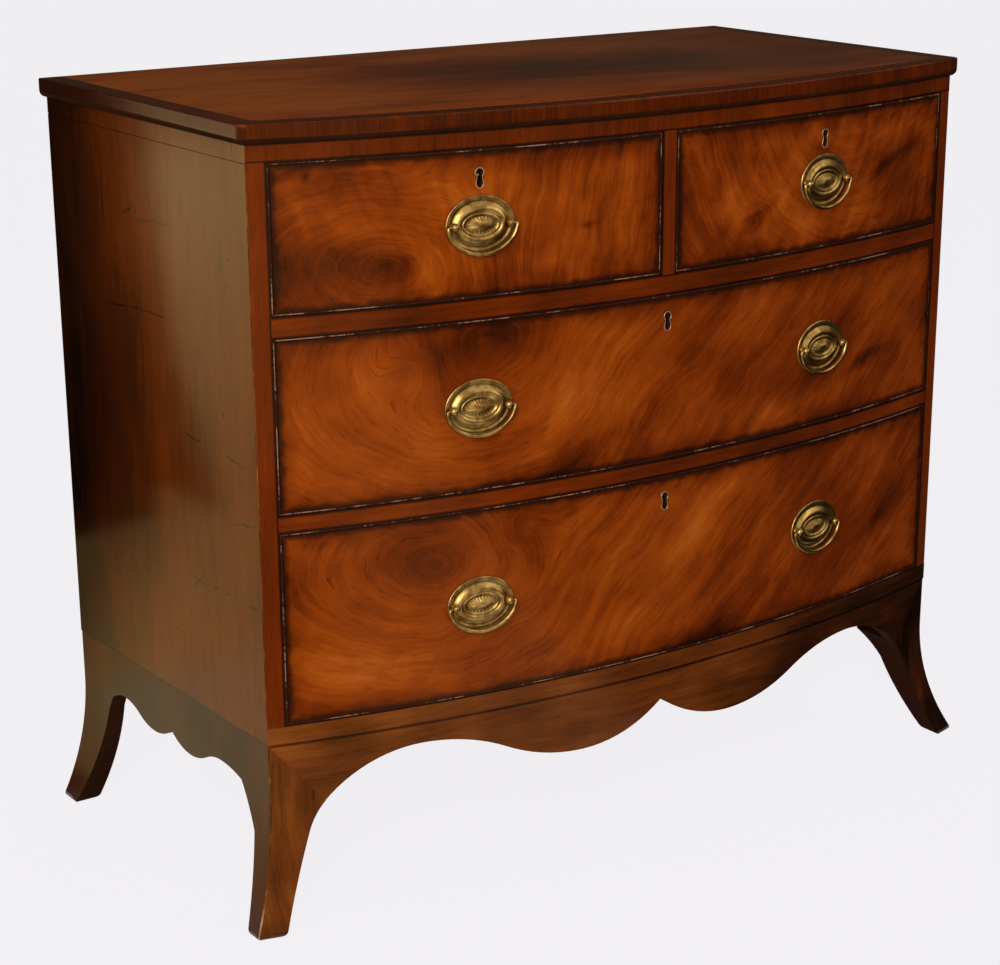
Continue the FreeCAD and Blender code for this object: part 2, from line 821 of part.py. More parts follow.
def plate():
    """Stamped oval plate: rim, cove, raised ridge and sunk middle."""
    profile = [
        ("1", "0"),
        ("0.95", "plate_rim"),
        ("0.86", "plate_cove"),
        ("0.66", "plate_ridge"),
        ("0.45", "plate_well * 0.5"),
        ("0.2", "plate_well"),
    ]
    rings = [(f"plate_length / 2 * {share}", f"plate_height / 2 * {share}", proud)
             for share, proud in profile]
    holes = [place(prism(f"plate_hole_{side}", "XZ_Plane",
                         ring_corners("post_neck + post_fit", "post_neck + post_fit", 6),
                         "plate_ridge * 3", True), f"{sign}post_spacing / 2")
             for side, sign in (("left", "-"), ("right", ""))]
    return cut("plate_shape", stacked("plate_oval", 16, rings), *holes)


def bail():
    """Rod bent to half an oval of three tangent arcs, with a pin turned inward at each end."""
    reach = number("bail_length / 2 - bail_end_radius")
    rise = number("((bail_length / 2 - bail_end_radius)^2 - (bail_drop - bail_end_radius)^2)"
                  " / (2 * (bail_drop - bail_end_radius))")
    end_radius = number("bail_end_radius")
    low_radius = number("bail_drop") + rise
    turn = math.atan2(rise, reach)
    rod = number("bail_rod / 2")
    pin = number("bail_pin / 2")
    sides = 6

    def section(centre_x, centre_z, angle, radius, thickness):
        wires = []
        for step in range(sides):
            around = 2 * math.pi * (step + 0.5) / sides
            out = radius + thickness * math.cos(around)
            wires.append(FreeCAD.Vector(centre_x + out * math.cos(angle),
                                        thickness * math.sin(around),
                                        centre_z + out * math.sin(angle)))
        return wires

    end_steps = 3
    low_steps = 6
    wires = [section(reach, 0, -turn * step / end_steps, end_radius, rod)
             for step in range(end_steps)]
    wires += [section(0, rise, -turn - (math.pi - 2 * turn) * step / low_steps, low_radius, rod)
              for step in range(low_steps)]
    wires += [section(-reach, 0, -math.pi + turn * (end_steps - step) / end_steps, end_radius, rod)
              for step in range(end_steps + 1)]
    loop = skinned(wires)
    ends = []
    for sign in (-1, 1):
        stations = [(number("post_spacing - post_ball") / 2, pin),
                    (number("bail_length + bail_rod") / 2, pin * 0.8)]
        ends.append(skinned([[
            FreeCAD.Vector(sign * x, radius * math.sin(2 * math.pi * (step + 0.5) / sides),
                           radius * math.cos(2 * math.pi * (step + 0.5) / sides))
            for step in range(sides)] for x, radius in stations]))
    feature = doc.addObject("Part::Feature", "bail_shape")
    feature.Shape = loop.fuse(ends)
    feature.Placement = FreeCAD.Placement(FreeCAD.Vector(0, -number("pivot_proud"), 0),
                                          FreeCAD.Rotation())
    return feature


def post():
    """Post with a round head, drilled for the bail's pin, on a shank through the front."""
    shank = [("post_shank", "-front_thickness - nut_seat - nut_thickness - 1"),
             ("post_shank", "0"), ("post_neck * 0.9", "0.2"),
             ("post_neck * 0.9", "pivot_proud - post_ball * 0.8"),
             ("post_ball", "pivot_proud"),
             ("post_ball * 0.6", "pivot_proud + post_ball * 0.8")]
    bar = stacked("post_bar", 6, [(radius, radius, proud) for radius, proud in shank])
    sides = 6
    room = f"(bail_pin / 2 + bail_fit) / {math.cos(math.pi / sides)}"
    eye = prism("post_eye", "YZ_Plane", ring_corners(room, room, sides), "post_ball * 4", True)
    place(eye, y="-pivot_proud")
    return cut("post_shape", bar, eye)


def nut():
    half = "(nut_width / 2)"
    bar = box("nut_bar", (f"-{half}", half),
              ("front_thickness + nut_seat", "front_thickness + nut_seat + nut_thickness"),
              (f"-{half}", half))
    hole = ring_corners("post_shank + post_fit", "post_shank + post_fit", 6)
    bore = prism("nut_bore", "XZ_Plane", hole, "front_thickness * 3", True)
    return cut("nut_shape", bar, bore)


handle_plate = plate()
handle_bail = bail()
post_master = post()
nut_master = nut()
post_set = group("post_set")
shank_set = group("shank_set")
pieces = []
holes = []
for side, sign in (("left", "-"), ("right", "")):
    x = f"{sign}post_spacing / 2"
    for piece in (post_master, nut_master):
        pieces.append(place(group(f"{piece.Name}_{side}", piece), x))
    holes.append(place(prism(f"shank_hole_{side}", "XZ_Plane",
                             ring_corners("post_shank + post_fit", "post_shank + post_fit", 6),
                             "front_thickness * 3", True), x))
post_set.Links = pieces
shank_set.Links = holes


# ---- drawers ----

openings = {
    "short_left": (f"-{inner_half}", f"-{divider_half}", short_floor, "short_opening"),
    "short_right": (divider_half, inner_half, short_floor, "short_opening"),
    "middle": (f"-{inner_half}", inner_half, middle_floor, "middle_opening"),
    "bottom": (f"-{inner_half}", inner_half, bottom_floor, "bottom_opening"),
}
pull_places = {
    "short_left": {"": f"-{short_pull}"},
    "short_right": {"": short_pull},
    "middle": {"_left": f"-{long_pull}", "_right": long_pull},
    "bottom": {"_left": f"-{long_pull}", "_right": long_pull},
}
drawer_end = f"({boards_y} - rear_room)"


def bead_frame(name, x, z):
    """Four cock beads round a drawer front: two follow the bow and two stand between them."""
    strips = []
    for edge, low in (("bottom", z[0]), ("top", f"{z[1]} - bead_thickness")):
        strips.append(bowed_strip(f"{name}_bead_{edge}", x, (low, f"{low} + bead_thickness"),
                                  "-bead_proud", "bead_inset"))
    upright = (f"({z[0]} + bead_thickness)", f"({z[1]} - bead_thickness)")
    for edge, low in (("left", x[0]), ("right", f"{x[1]} - bead_thickness")):
        high = f"({low} + bead_thickness)"
        corners = [
            (low, on_bow(low, "-bead_proud")),
            (high, on_bow(high, "-bead_proud")),
            (high, on_bow(high, "bead_inset")),
            (low, on_bow(low, "bead_inset")),
        ]
        strips.append(place(prism(f"{name}_bead_{edge}", "XY_Plane", corners,
                                  f"{upright[1]} - {upright[0]}"), z=upright[0]))
    return group(f"{name}_beads", *strips)


def dovetails(name, x, y, z, count):
    """Row of tails, narrow at y[0] and wide at y[1]."""
    pitch = f"((({z[1]}) - ({z[0]})) / {count})"
    tails = []
    for index in range(count):
        centre = f"({z[0]} + ({index} + 0.5) * {pitch})"
        tail = doc.addObject("Part::Wedge", f"{name}_tail_{index}")
        narrow = f"(dovetail_root * {pitch} / 2)"
        wide = f"(dovetail_tip * {pitch} / 2)"
        low, high = (wide, narrow) if number(y[1]) < number(y[0]) else (narrow, wide)
        ends = (y[1], y[0]) if number(y[1]) < number(y[0]) else y
        tie(tail, Xmin=x[0], Xmax=x[1], X2min=x[0], X2max=x[1], Ymin=ends[0], Ymax=ends[1],
            Zmin=f"{centre} - {low}", Zmax=f"{centre} + {low}",
            Z2min=f"{centre} - {high}", Z2max=f"{centre} + {high}")
        tails.append(tail)
    return tails


def drawer(name):
    left, right, floor, opening = openings[name]
    x = (f"({left} + front_gap)", f"({right} - front_gap)")
    z = (f"({floor} + front_gap)", f"({floor} + {opening} - front_gap)")
    prefix = f"drawer_{name}"

    # box of the drawer, inside the bow
    outer = (f"({left} + side_gap)", f"({right} - side_gap)")
    inner = (f"({outer[0]} + drawer_side)", f"({outer[1]} - drawer_side)")
    low = f"({floor} + run_gap)"
    panel = (f"({low} + bottom_lift)", f"({low} + bottom_lift + drawer_bottom)")
    side_top = f"({z[1]} - side_drop)"
    back_front = f"({drawer_end} - drawer_back)"
    inside_face = drum(f"{prefix}_inside", "front_thickness", (floor, z[1]))

    bottom_blank = box(f"{prefix}_bottom_board",
                       (f"{inner[0]} - bottom_groove", f"{inner[1]} + bottom_groove"),
                       (f"{corner_y} - bow_depth", drawer_end), panel)
    bottom = common(f"{prefix}_bottom_shape", bottom_blank,
                    drum(f"{prefix}_bottom_bow", "front_thickness - bottom_groove", panel))

    sides = []
    front_tails = []
    rear_tails = []
    for side, (near, far) in (("left", (outer[0], inner[0])), ("right", (inner[1], outer[1]))):
        wall = (near, far)
        outermost = near if abs(number(near)) > abs(number(far)) else far
        innermost = far if outermost == near else near
        lap_y = on_bow(outermost, "dovetail_lap")
        root_y = f"({on_bow(outermost, 'front_thickness')} + 1)"
        tails = dovetails(f"{prefix}_{side}", wall, (root_y, lap_y), (low, side_top), 3)
        rear = dovetails(f"{prefix}_{side}_rear", wall, (f"({back_front} - 1)", drawer_end),
                         (panel[1], f"({side_top} - back_drop)"), 2)
        plank = box(f"{prefix}_{side}_plank", wall, (f"{corner_y} - bow_depth", back_front),
                    (low, side_top))
        heel = box(f"{prefix}_{side}_heel", wall, (back_front, drawer_end), (low, panel[1]))
        trimmed = common(f"{prefix}_{side}_trimmed", plank, inside_face)
        blank = fuse(f"{prefix}_{side}_blank", trimmed, heel, *tails, *rear)
        sides.append(cut(f"{prefix}_{side}_side", blank, bottom))
        front_tails += tails
        rear_tails += rear

    beads = bead_frame(prefix, x, z)
    front_blank = fuse(
        f"{prefix}_front_blank",
        bowed_strip(f"{prefix}_front_back_layer", x, z, "bead_inset", "front_thickness"),
        bowed_strip(f"{prefix}_front_face_layer",
                    (f"({x[0]} + bead_thickness)", f"({x[1]} - bead_thickness)"),
                    (f"({z[0]} + bead_thickness)", f"({z[1]} - bead_thickness)"),
                    "0", "bead_inset"))
    pull_z = f"({floor} + {opening} / 2)"
    drilled = []
    fittings = []
    for place_name, pull_x in pull_places[name].items():
        drilled.append(on_face(f"{prefix}_holes{place_name}", shank_set, pull_x, pull_z))
        for fitting in (handle_plate, post_set):
            fittings.append(on_face(f"{prefix}_{fitting.Label}{place_name}", fitting,
                                    pull_x, pull_z))
        node(f"bail_{name}{place_name}",
             on_face(f"{prefix}_bail{place_name}", handle_bail, pull_x, pull_z))
    front = cut(f"{prefix}_front_shape", front_blank, bottom, *front_tails, *drilled,
                at_lock(f"{prefix}_lock_room", lock_cavity, name))
    back_blank = box(f"{prefix}_back_board", outer, (back_front, drawer_end),
                     (panel[1], f"{side_top} - back_drop"))

    node(f"{prefix}_front", front)
    node(f"{prefix}_sides", group(f"{prefix}_side_pair", *sides))
    node(f"{prefix}_back", cut(f"{prefix}_back_shape", back_blank, *rear_tails))
    node(f"{prefix}_bottom", bottom)
    node(f"{prefix}_cock_beads", beads)
    node(f"{prefix}_lock", group(f"{prefix}_lock_set",
                                 at_lock(f"{prefix}_lock_case", lock_case, name),
                                 at_lock(f"{prefix}_thread", thread, name)))
    node(f"lock_bolt_{name}", at_lock(f"{prefix}_bolt", bolt, name))
    node(f"{prefix}_handles", group(f"{prefix}_handle_set", *fittings))


for drawer_name in openings:
    drawer(drawer_name)

doc.recompute()
for thing in doc.Objects:
    if "Invalid" in thing.State or "Error" in thing.State:
        raise RuntimeError(f"{thing.Label} did not recompute: {thing.State}")
for name, thing in nodes.items():
    shape = thing.Shape
    if shape.isNull() or not shape.isValid() or not shape.Solids:
        raise RuntimeError(f"{name} is not a valid solid")

os.makedirs("parts", exist_ok=True)
for name, thing in nodes.items():
    thing.Shape.exportStep(f"parts/{name}.step")
    print(name, len(thing.Shape.Solids), "solids", round(thing.Shape.Volume), "mm3")
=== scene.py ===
import json
import math
import bmesh
import bpy
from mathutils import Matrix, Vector


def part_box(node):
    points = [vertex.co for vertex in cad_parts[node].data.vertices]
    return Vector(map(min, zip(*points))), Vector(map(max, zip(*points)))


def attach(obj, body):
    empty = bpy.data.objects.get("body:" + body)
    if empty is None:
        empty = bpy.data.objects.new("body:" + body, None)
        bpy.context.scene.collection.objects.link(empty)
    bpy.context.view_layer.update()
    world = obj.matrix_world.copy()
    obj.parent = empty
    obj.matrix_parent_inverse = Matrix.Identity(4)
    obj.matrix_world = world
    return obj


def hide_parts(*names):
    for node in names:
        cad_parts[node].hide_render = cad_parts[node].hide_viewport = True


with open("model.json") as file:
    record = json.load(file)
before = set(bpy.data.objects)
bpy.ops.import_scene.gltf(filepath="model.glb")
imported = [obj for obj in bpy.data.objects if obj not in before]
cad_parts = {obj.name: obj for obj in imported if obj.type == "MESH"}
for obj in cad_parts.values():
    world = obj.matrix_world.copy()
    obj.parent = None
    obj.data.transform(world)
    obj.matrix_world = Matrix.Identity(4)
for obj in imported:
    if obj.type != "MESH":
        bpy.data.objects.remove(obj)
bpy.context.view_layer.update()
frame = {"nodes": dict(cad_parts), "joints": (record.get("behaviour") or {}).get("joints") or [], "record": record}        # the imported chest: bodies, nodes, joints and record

print("frame:", len(frame["nodes"]), "nodes")


# small tools for node trees

class Wire:        # one output socket that Python can do sums with
    def __init__(self, graph, out):
        self.graph = graph
        self.out = out

    def maths(self, operation, *others):
        return self.graph.node("ShaderNodeMath", {"operation": operation},
                               dict(enumerate((self,) + others)))

    def __add__(self, other):
        return self.maths("ADD", other)

    __radd__ = __add__

    def __sub__(self, other):
        return self.maths("SUBTRACT", other)

    def __rsub__(self, other):
        return self * -1 + other

    def __mul__(self, other):
        return self.maths("MULTIPLY", other)

    __rmul__ = __mul__

    def __truediv__(self, other):
        return self.maths("DIVIDE", other)

    def __pow__(self, other):
        return self.maths("POWER", other)


class Graph:       # a shader tree or a Geometry Nodes tree
    def __init__(self, tree):
        self.tree = tree

    def node(self, kind, settings=None, values=None, output=0):
        made = self.tree.nodes.new(kind)
        for name, setting in (settings or {}).items():
            if name == "stops":
                while len(made.color_ramp.elements) < len(setting):
                    made.color_ramp.elements.new(0.5)
                for element, (place, paint) in zip(made.color_ramp.elements, setting):
                    element.position = place
                    element.color = paint
            else:
                setattr(made, name, setting)
        for key, value in (values or {}).items():
            if isinstance(value, Wire):
                self.tree.links.new(value.out, made.inputs[key])
            else:
                made.inputs[key].default_value = value
        return Wire(self, made.outputs[output])

    def vector(self, x, y, z):
        return self.node("ShaderNodeCombineXYZ", {}, {0: x, 1: y, 2: z})

    def noise(self, vector, scale=1, detail=2, roughness=0.5, warp=0):
        return self.node("ShaderNodeTexNoise", {"noise_dimensions": "3D"},
                         {"Vector": vector, "Scale": scale, "Detail": detail,
                          "Roughness": roughness, "Distortion": warp})

    def smooth(self, value, low, high):      # 0 below low, 1 above high, eased between
        return self.node("ShaderNodeMapRange", {"interpolation_type": "SMOOTHSTEP"},
                         {"Value": value, "From Min": low, "From Max": high})

    def blend(self, share, first, second):   # two colours
        return self.node("ShaderNodeMix", {"data_type": "RGBA"}, {0: share, 6: first, 7: second},
                         output=2)

    def ramp(self, value, stops):
        return self.node("ShaderNodeValToRGB", {"stops": stops}, {0: value})


def colour(red, green, blue):      # display values 0-255, given to Blender as linear light
    shares = [value / 255 for value in (red, green, blue)]
    return tuple(s / 12.92 if s <= 0.04045 else ((s + 0.055) / 1.055) ** 2.4
                 for s in shares) + (1,)


def shades(*rows):      # stops of a ramp, from a place and a colour each
    return [(place, colour(*paint)) for place, *paint in rows]


class Finish(Graph):   # one material with its Principled shader
    def __init__(self, name, constants):
        self.material = bpy.data.materials.new(name)
        self.material.use_nodes = True
        super().__init__(self.material.node_tree)
        self.shader = self.tree.nodes["Principled BSDF"]
        for socket, value in constants.items():
            self.shader.inputs[socket].default_value = value
        place = self.tree.nodes.new("ShaderNodeTexCoord")
        self.place = Wire(self, place.outputs["Object"])
        parts = self.tree.nodes.new("ShaderNodeSeparateXYZ")
        self.tree.links.new(self.place.out, parts.inputs[0])
        self.x, self.y, self.z = [Wire(self, out) for out in parts.outputs]

    def feed(self, socket, wire):
        self.tree.links.new(wire.out, self.shader.inputs[socket])

    def bump(self, height, distance, strength=0.5):
        self.feed("Normal", self.node("ShaderNodeBump", {},
                                      {"Strength": strength, "Distance": distance,
                                       "Height": height}))

    def reach(self, across, up, centre, size, tilt):    # squared distance, counted in sizes
        turn = math.radians(tilt)
        u = across - centre[0]
        v = up - centre[1]
        along = (u * math.cos(turn) + v * math.sin(turn)) / size[0]
        side = (v * math.cos(turn) - u * math.sin(turn)) / size[1]
        return along * along + side * side

    def spot(self, across, up, centre, size, tilt=0):   # soft round patch, 1 in its middle
        return (self.reach(across, up, centre, size, tilt) * -1).maths("EXPONENT")

    def cone(self, across, up, centre, size, tilt, blunt=0.02):   # grows evenly from its tip
        return (self.reach(across, up, centre, size, tilt) + blunt) ** 0.5


# polished mahogany

polish = {
    "Specular IOR Level": 0.2,
    "Specular Tint": (1, 0.5, 0.16, 1),
    "Roughness": 0.18,
}
mahogany = shades(
    (0.0, 22, 7, 3), (0.2, 56, 18, 4), (0.4, 98, 35, 4),
    (0.58, 132, 55, 8), (0.78, 162, 80, 20), (1.0, 198, 118, 48))


def patch(x, y, width, height, tilt):      # centre, size and tilt from a row in mm and degrees
    return (x / 1000, y / 1000), (width / 1000, height / 1000), tilt


def grained(finish, height, across, up, seed, weights):
    # streaks that follow the lines of equal height, from broad smoky bands down to pores
    def streak(scale, drift, detail=2):
        return finish.noise(finish.vector(height * scale, across * drift, up * drift + seed),
                            detail=detail, roughness=0.55) - 0.5
    broad, middle, fine, hair = weights
    tone = streak(13, 5, 2) * broad + streak(62, 7, 4) * middle + streak(260, 16, 4) * fine
    specks = finish.noise(finish.vector(height * 1300, across * 50, up * 50 + seed), detail=1)
    return tone - finish.smooth(specks, 0.6, 0.75) * hair


def lacquered(finish, tone, stops=mahogany, grime=None, shine=polish["Roughness"]):
    wood = finish.ramp(tone, stops)
    finish.feed("Base Color", wood if grime is None else
                finish.blend(grime, wood, colour(16, 7, 4)))
    cloud = finish.noise(finish.place, 9, 3)
    finish.feed("Roughness", cloud * shine * 0.6 + shine * 0.7)
    finish.bump(tone, 0.0002, 0.12)
    return finish.material


def borderDistance(finish, low, high):     # to the nearest edge of a drawer front
    ends = (finish.x - low.x).maths("MINIMUM", high.x - finish.x)
    return ends.maths("MINIMUM", (finish.z - low.z).maths("MINIMUM", high.z - finish.z))


def flameFront(name, low, high, figure):
    finish = Finish(name, polish)
    seed = figure["seed"]

    def wander(offset, scale, reach):
        return (finish.noise(finish.vector(finish.x * scale, seed + offset, finish.z * scale),
                             detail=2) - 0.5) * reach
    x = finish.x + wander(0, 7, figure["bend"]) + wander(1, 38, 0.007)
    z = finish.z + wander(2, 8, figure["bend"]) + wander(3, 42, 0.006)
    # rings round the eye of the whorl, which open into a straight sweep on the right
    eye, size, tilt = patch(*figure["eye"])
    rings = finish.cone(x, z, eye, size, tilt) * min(size)
    lean = math.radians(figure["sweep"])
    sweep = (x - eye[0]) * math.sin(lean) - (z - eye[1]) * math.cos(lean)
    opened = finish.smooth(finish.x + (finish.z - eye[1]) * 0.4, *figure["opens"])
    height = rings * (1 - opened) + sweep * opened
    for *row, pull in figure["whorls"]:
        height = height + finish.spot(x, z, *patch(*row)) * pull
    tone = grained(finish, height, x, z, seed, figure["weights"]) + figure["tone"]
    for *row, gain in figure["patches"]:
        tone = tone + finish.spot(x, z, *patch(*row)) * gain
    # cross figure that shimmers over the grain, and smoke that ignores it
    ripple = finish.noise(finish.vector(x * 70 + height * 40, seed + 9, z * 9), detail=2) - 0.5
    smoke = finish.noise(finish.vector(x * 9, seed + 12, z * 13), detail=4, roughness=0.6) - 0.5
    tone = tone + ripple * figure["shimmer"] + smoke * figure["smoke"]
    # polish and dirt gather along the beads
    edge = borderDistance(finish, low, high)
    uneven = finish.noise(finish.place, 55, 3) - 0.5
    grime = 1 - finish.smooth(edge + uneven * 0.009, 0.0035, 0.0115)
    tone = tone - (1 - finish.smooth(edge + uneven * 0.02, 0.004, 0.032)) * 0.13
    return lacquered(finish, tone, grime=grime * 0.8)


def straightWood(name, axes, settings):
    # veneer with straight grain; axes are those along it, across it and into the wood;
    # rows of gradients give axis, start, end and gain, and rows of seams give axis and places
    finish = Finish(name, polish)
    run, side, depth = [getattr(finish, axis) for axis in axes]
    bend = finish.noise(finish.vector(run * 3, settings["seed"], side * 6), detail=2) - 0.5
    height = side + bend * settings["bend"]
    tone = grained(finish, height, run, depth, settings["seed"], settings["weights"])
    tone = tone + settings["tone"]
    cloud = finish.noise(finish.place, settings["cloud"], 2) - 0.5
    tone = tone + cloud * settings["cloudy"]
    for axis, start, end, gain in settings.get("fades", []):
        tone = tone + finish.smooth(getattr(finish, axis), start, end) * gain
    for axis, places in settings.get("seams", []):     # dark lines along openings and joints: painted shade in the gaps, with some dirt
        for place in places:
            gap = (getattr(finish, axis) - place).maths("ABSOLUTE")
            tone = tone - (1 - finish.smooth(gap, 0.0006, 0.0028)) * 0.28
    if "marks" in settings:                            # scratches and old cracks
        shiver = (finish.noise(finish.place, 120, 2) - 0.5) * 0.006
        for *row, gain in settings["marks"]:
            tone = tone - finish.spot(side + shiver, run + shiver, *patch(*row)) * gain
    return lacquered(finish, tone, settings.get("stops", mahogany),
                     shine=settings.get("shine", polish["Roughness"]))


# visible pieces

def added(name, data):
    made = bpy.data.objects.new(name, data)
    bpy.context.scene.collection.objects.link(made)
    return made


def placed(name, mesh, body, nodes):
    made = added(name, mesh)
    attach(made, body)
    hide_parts(*nodes)


def piece(name, shape, materials, body, nodes, sharp=20):
    # smooth but for edges over the sharp angle; a strip of rounding is smooth in itself only
    mesh = bpy.data.meshes.new(name)
    shape.normal_update()
    for face in shape.faces:
        face.smooth = True
    strips = shape.faces.layers.int.get("strip")
    for edge in shape.edges:
        edge.smooth = len(edge.link_faces) == 2 and edge.calc_face_angle(3) < math.radians(sharp)
        if strips and len(edge.link_faces) == 2:
            first, second = [face[strips] for face in edge.link_faces]
            if first or second:
                edge.smooth = first == second
    shape.to_mesh(mesh)
    shape.free()
    for material in materials:
        mesh.materials.append(material)
    placed(name, mesh, body, nodes)


def planed(node):      # the CAD part with its facets joined up again
    shape = bmesh.new()
    shape.from_mesh(frame["nodes"][node].data)
    bmesh.ops.remove_doubles(shape, verts=shape.verts, dist=0.00002)
    bmesh.ops.dissolve_limit(shape, angle_limit=math.radians(0.2), verts=shape.verts,
                             edges=shape.edges)
    shape.normal_update()
    return shape


def eased(shape, width, segments, first, second):
    # rounds the arrises between the faces that the two tests pick; gives the new faces
    strips = shape.faces.layers.int.get("strip") or shape.faces.layers.int.new("strip")
    leastAngle = math.radians(35)
    chosen = []
    for edge in shape.edges:
        if len(edge.link_faces) == 2:
            a, b = [face.normal for face in edge.link_faces]
            isPicked = first(a) and second(b) or first(b) and second(a)
            if isPicked and a.angle(b, 0) > leastAngle:
                chosen.append(edge)
    made = bmesh.ops.bevel(shape, geom=chosen, offset=width, segments=segments, profile=0.5,
                           affect="EDGES", clamp_overlap=False)
    for face in made["faces"]:
        face[strips] = 1
    shape.normal_update()
    return made["faces"]


def ringed(shape, rings, shade=None, values=None, closed=True):
    # skins rings of points, with both ends capped, and notes how dark each ring is
    made = [[shape.verts.new(point) for point in ring] for ring in rings]
    if shade is not None:
        for ring, tones in zip(made, values):
            for k, vert in enumerate(ring):
                vert[shade] = tones[k] if isinstance(tones, list) else tones
    for first, second in zip(made, made[1:]):
        for k in range(len(first)):
            shape.faces.new((first[k - 1], first[k], second[k], second[k - 1]))
    if closed:
        shape.faces.new(list(reversed(made[0])))
        shape.faces.new(made[-1])
    return made


bow = dict(radius=1.84098, centreY=1.57578)


def onBow(x, proud=0):
    return bow["centreY"] - math.sqrt((bow["radius"] + proud) ** 2 - x * x)


bodies = frame["record"]["behaviour"]["bodies"]
bodyOf = {node: body for body, nodes in bodies.items() for node in nodes}
print("tools ready")


# drawer fronts

figures = {      # eye, whorls and patches are rows for patch(), with a gain at the end
    "short_left": dict(
        seed=3.1, tone=0.505, bend=0.04, sweep=75, opens=(-0.3, -0.16),
        eye=(-355, 738, 75, 42, -10), weights=(0.38, 0.3, 0.24, 0.14), shimmer=0.2, smoke=0.62,
        whorls=[(-442, 836, 5, 6, 0, 0.01)],
        patches=[(-350, 738, 26, 14, -25, -0.16), (-402, 742, 75, 34, -5, -0.26),
        (-442, 836, 3.5, 4.5, 0, -0.12), (-108, 769, 12, 4, 10, -0.2),
        (-110, 735, 40, 20, -20, -0.08), (-300, 720, 12, 30, 15, 0.1),
        (-70, 850, 60, 20, 0, -0.1), (-190, 790, 60, 30, 0, 0.05)]),
    "short_right": dict(
        seed=11.7, tone=0.515, bend=0.035, sweep=28, opens=(0.25, 0.36),
        eye=(300, 900, 90, 90, 0), weights=(0.36, 0.3, 0.22, 0.14), shimmer=0.3, smoke=0.66,
        whorls=[(137, 749, 20, 14, 30, 0.03)],
        patches=[(91, 783, 25, 30, 0, 0.14), (137, 749, 22, 10, 30, -0.26),
        (360, 783, 35, 7, 22, -0.26), (420, 797, 30, 8, 22, -0.2), (74, 835, 30, 16, 0, -0.16),
        (400, 750, 100, 60, 0, -0.06)]),
    "middle": dict(
        seed=21.3, tone=0.505, bend=0.036, sweep=42, opens=(-0.2, -0.05),
        eye=(-235, 642, 85, 55, 10), weights=(0.44, 0.32, 0.22, 0.14), shimmer=0.08,
        smoke=0.42, whorls=[(-320, 620, 35, 30, 10, 0.035)],
        patches=[(-223, 645, 50, 22, 0, -0.24), (-306, 635, 50, 24, 0, -0.12),
        (-133, 575, 90, 18, 52, 0.16), (-60, 625, 50, 12, 52, 0.12), (-400, 530, 90, 50, 0, 0.1),
        (-114, 502, 50, 14, 20, -0.2), (35, 590, 60, 26, 40, -0.14), (130, 625, 50, 35, 35, 0.1),
        (342, 545, 45, 8, 8, -0.22), (217, 545, 60, 22, 20, -0.18), (300, 600, 200, 90, 0, -0.05)]),
    "bottom": dict(
        seed=33.9, tone=0.52, bend=0.036, sweep=40, opens=(-0.24, -0.08),
        eye=(-310, 407, 95, 55, 0), weights=(0.44, 0.32, 0.22, 0.14), shimmer=0.08, smoke=0.42,
        whorls=[(-200, 430, 40, 35, 0, 0.025)],
        patches=[(-320, 408, 60, 26, 0, -0.2), (-225, 430, 50, 20, 0, -0.14),
        (-147, 383, 80, 18, 55, 0.14), (40, 373, 60, 22, 45, 0.12), (-380, 300, 130, 50, 0, 0.1),
        (59, 242, 80, 18, 20, -0.2), (388, 330, 45, 16, 20, -0.2), (300, 340, 150, 120, 0, -0.12)]),
}
hollow = Finish("keyholeDark", {"Base Color": colour(40, 17, 6), "Roughness": 0.8,
                                "Specular IOR Level": 0.1})
keyWalls = dict(drop=0.0325, reach=0.0125, across=0.3, area=0.0002)
for drawer, figure in figures.items():
    node = f"drawer_{drawer}_front"
    low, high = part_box(node)
    veneer = flameFront(f"flameVeneer_{drawer}", low, high, figure)
    shape = planed(node)
    for face in shape.faces:          # the walls of the keyhole are painted dark: painted shade in the hole
        spot = face.calc_center_median()
        if (abs(high.z - spot.z - keyWalls["drop"]) < keyWalls["reach"]
                and abs((spot.x - low.x) / (high.x - low.x) - 0.5) < keyWalls["across"]
                and face.calc_area() < keyWalls["area"]):
            face.material_index = 1
    piece(f"flame_front_{drawer}", shape, [veneer, hollow.material], bodyOf[node], [node])
print("drawer fronts veneered")


# sides, rails, aprons and feet

# the seam rows below paint dark lines: shade in the gaps round the drawers and under the top, and
# the joints of case and base
openings = [0.2373, 0.4603, 0.4792, 0.6742, 0.6967, 0.8586]      # heights of the rails' edges
stileWood = straightWood("stileVeneer", "zxy", dict(
    seed=61, tone=0.37, bend=0.002, weights=(0.14, 0.16, 0.16, 0.12), cloud=6, cloudy=0.2,
    seams=[("x", (-0.4794, 0.4794, -0.0101, 0.0101))]))
faded = shades(      # the sides have faded to a browner gold
    (0.0, 16, 5, 2), (0.25, 60, 21, 2), (0.5, 103, 41, 3),
    (0.75, 128, 60, 12), (1.0, 156, 90, 34))
# the y gradients paint the rear of each side darker, painted shade; the z gradients darken it below
# 0.74 m and lighten it again below 0.42 m
sidePolish = dict(
    seed=71, tone=0.47, bend=0.008, weights=(0.24, 0.24, 0.18, 0.1), cloud=5, cloudy=0.2,
    stops=faded, shine=0.1, seams=[("z", (0.2165,))],
    fades=[("y", 0.0, 0.22, -0.2), ("y", 0.14, 0.27, -0.2), ("z", 0.74, 0.5, -0.1),
    ("z", 0.42, 0.3, 0.09)])
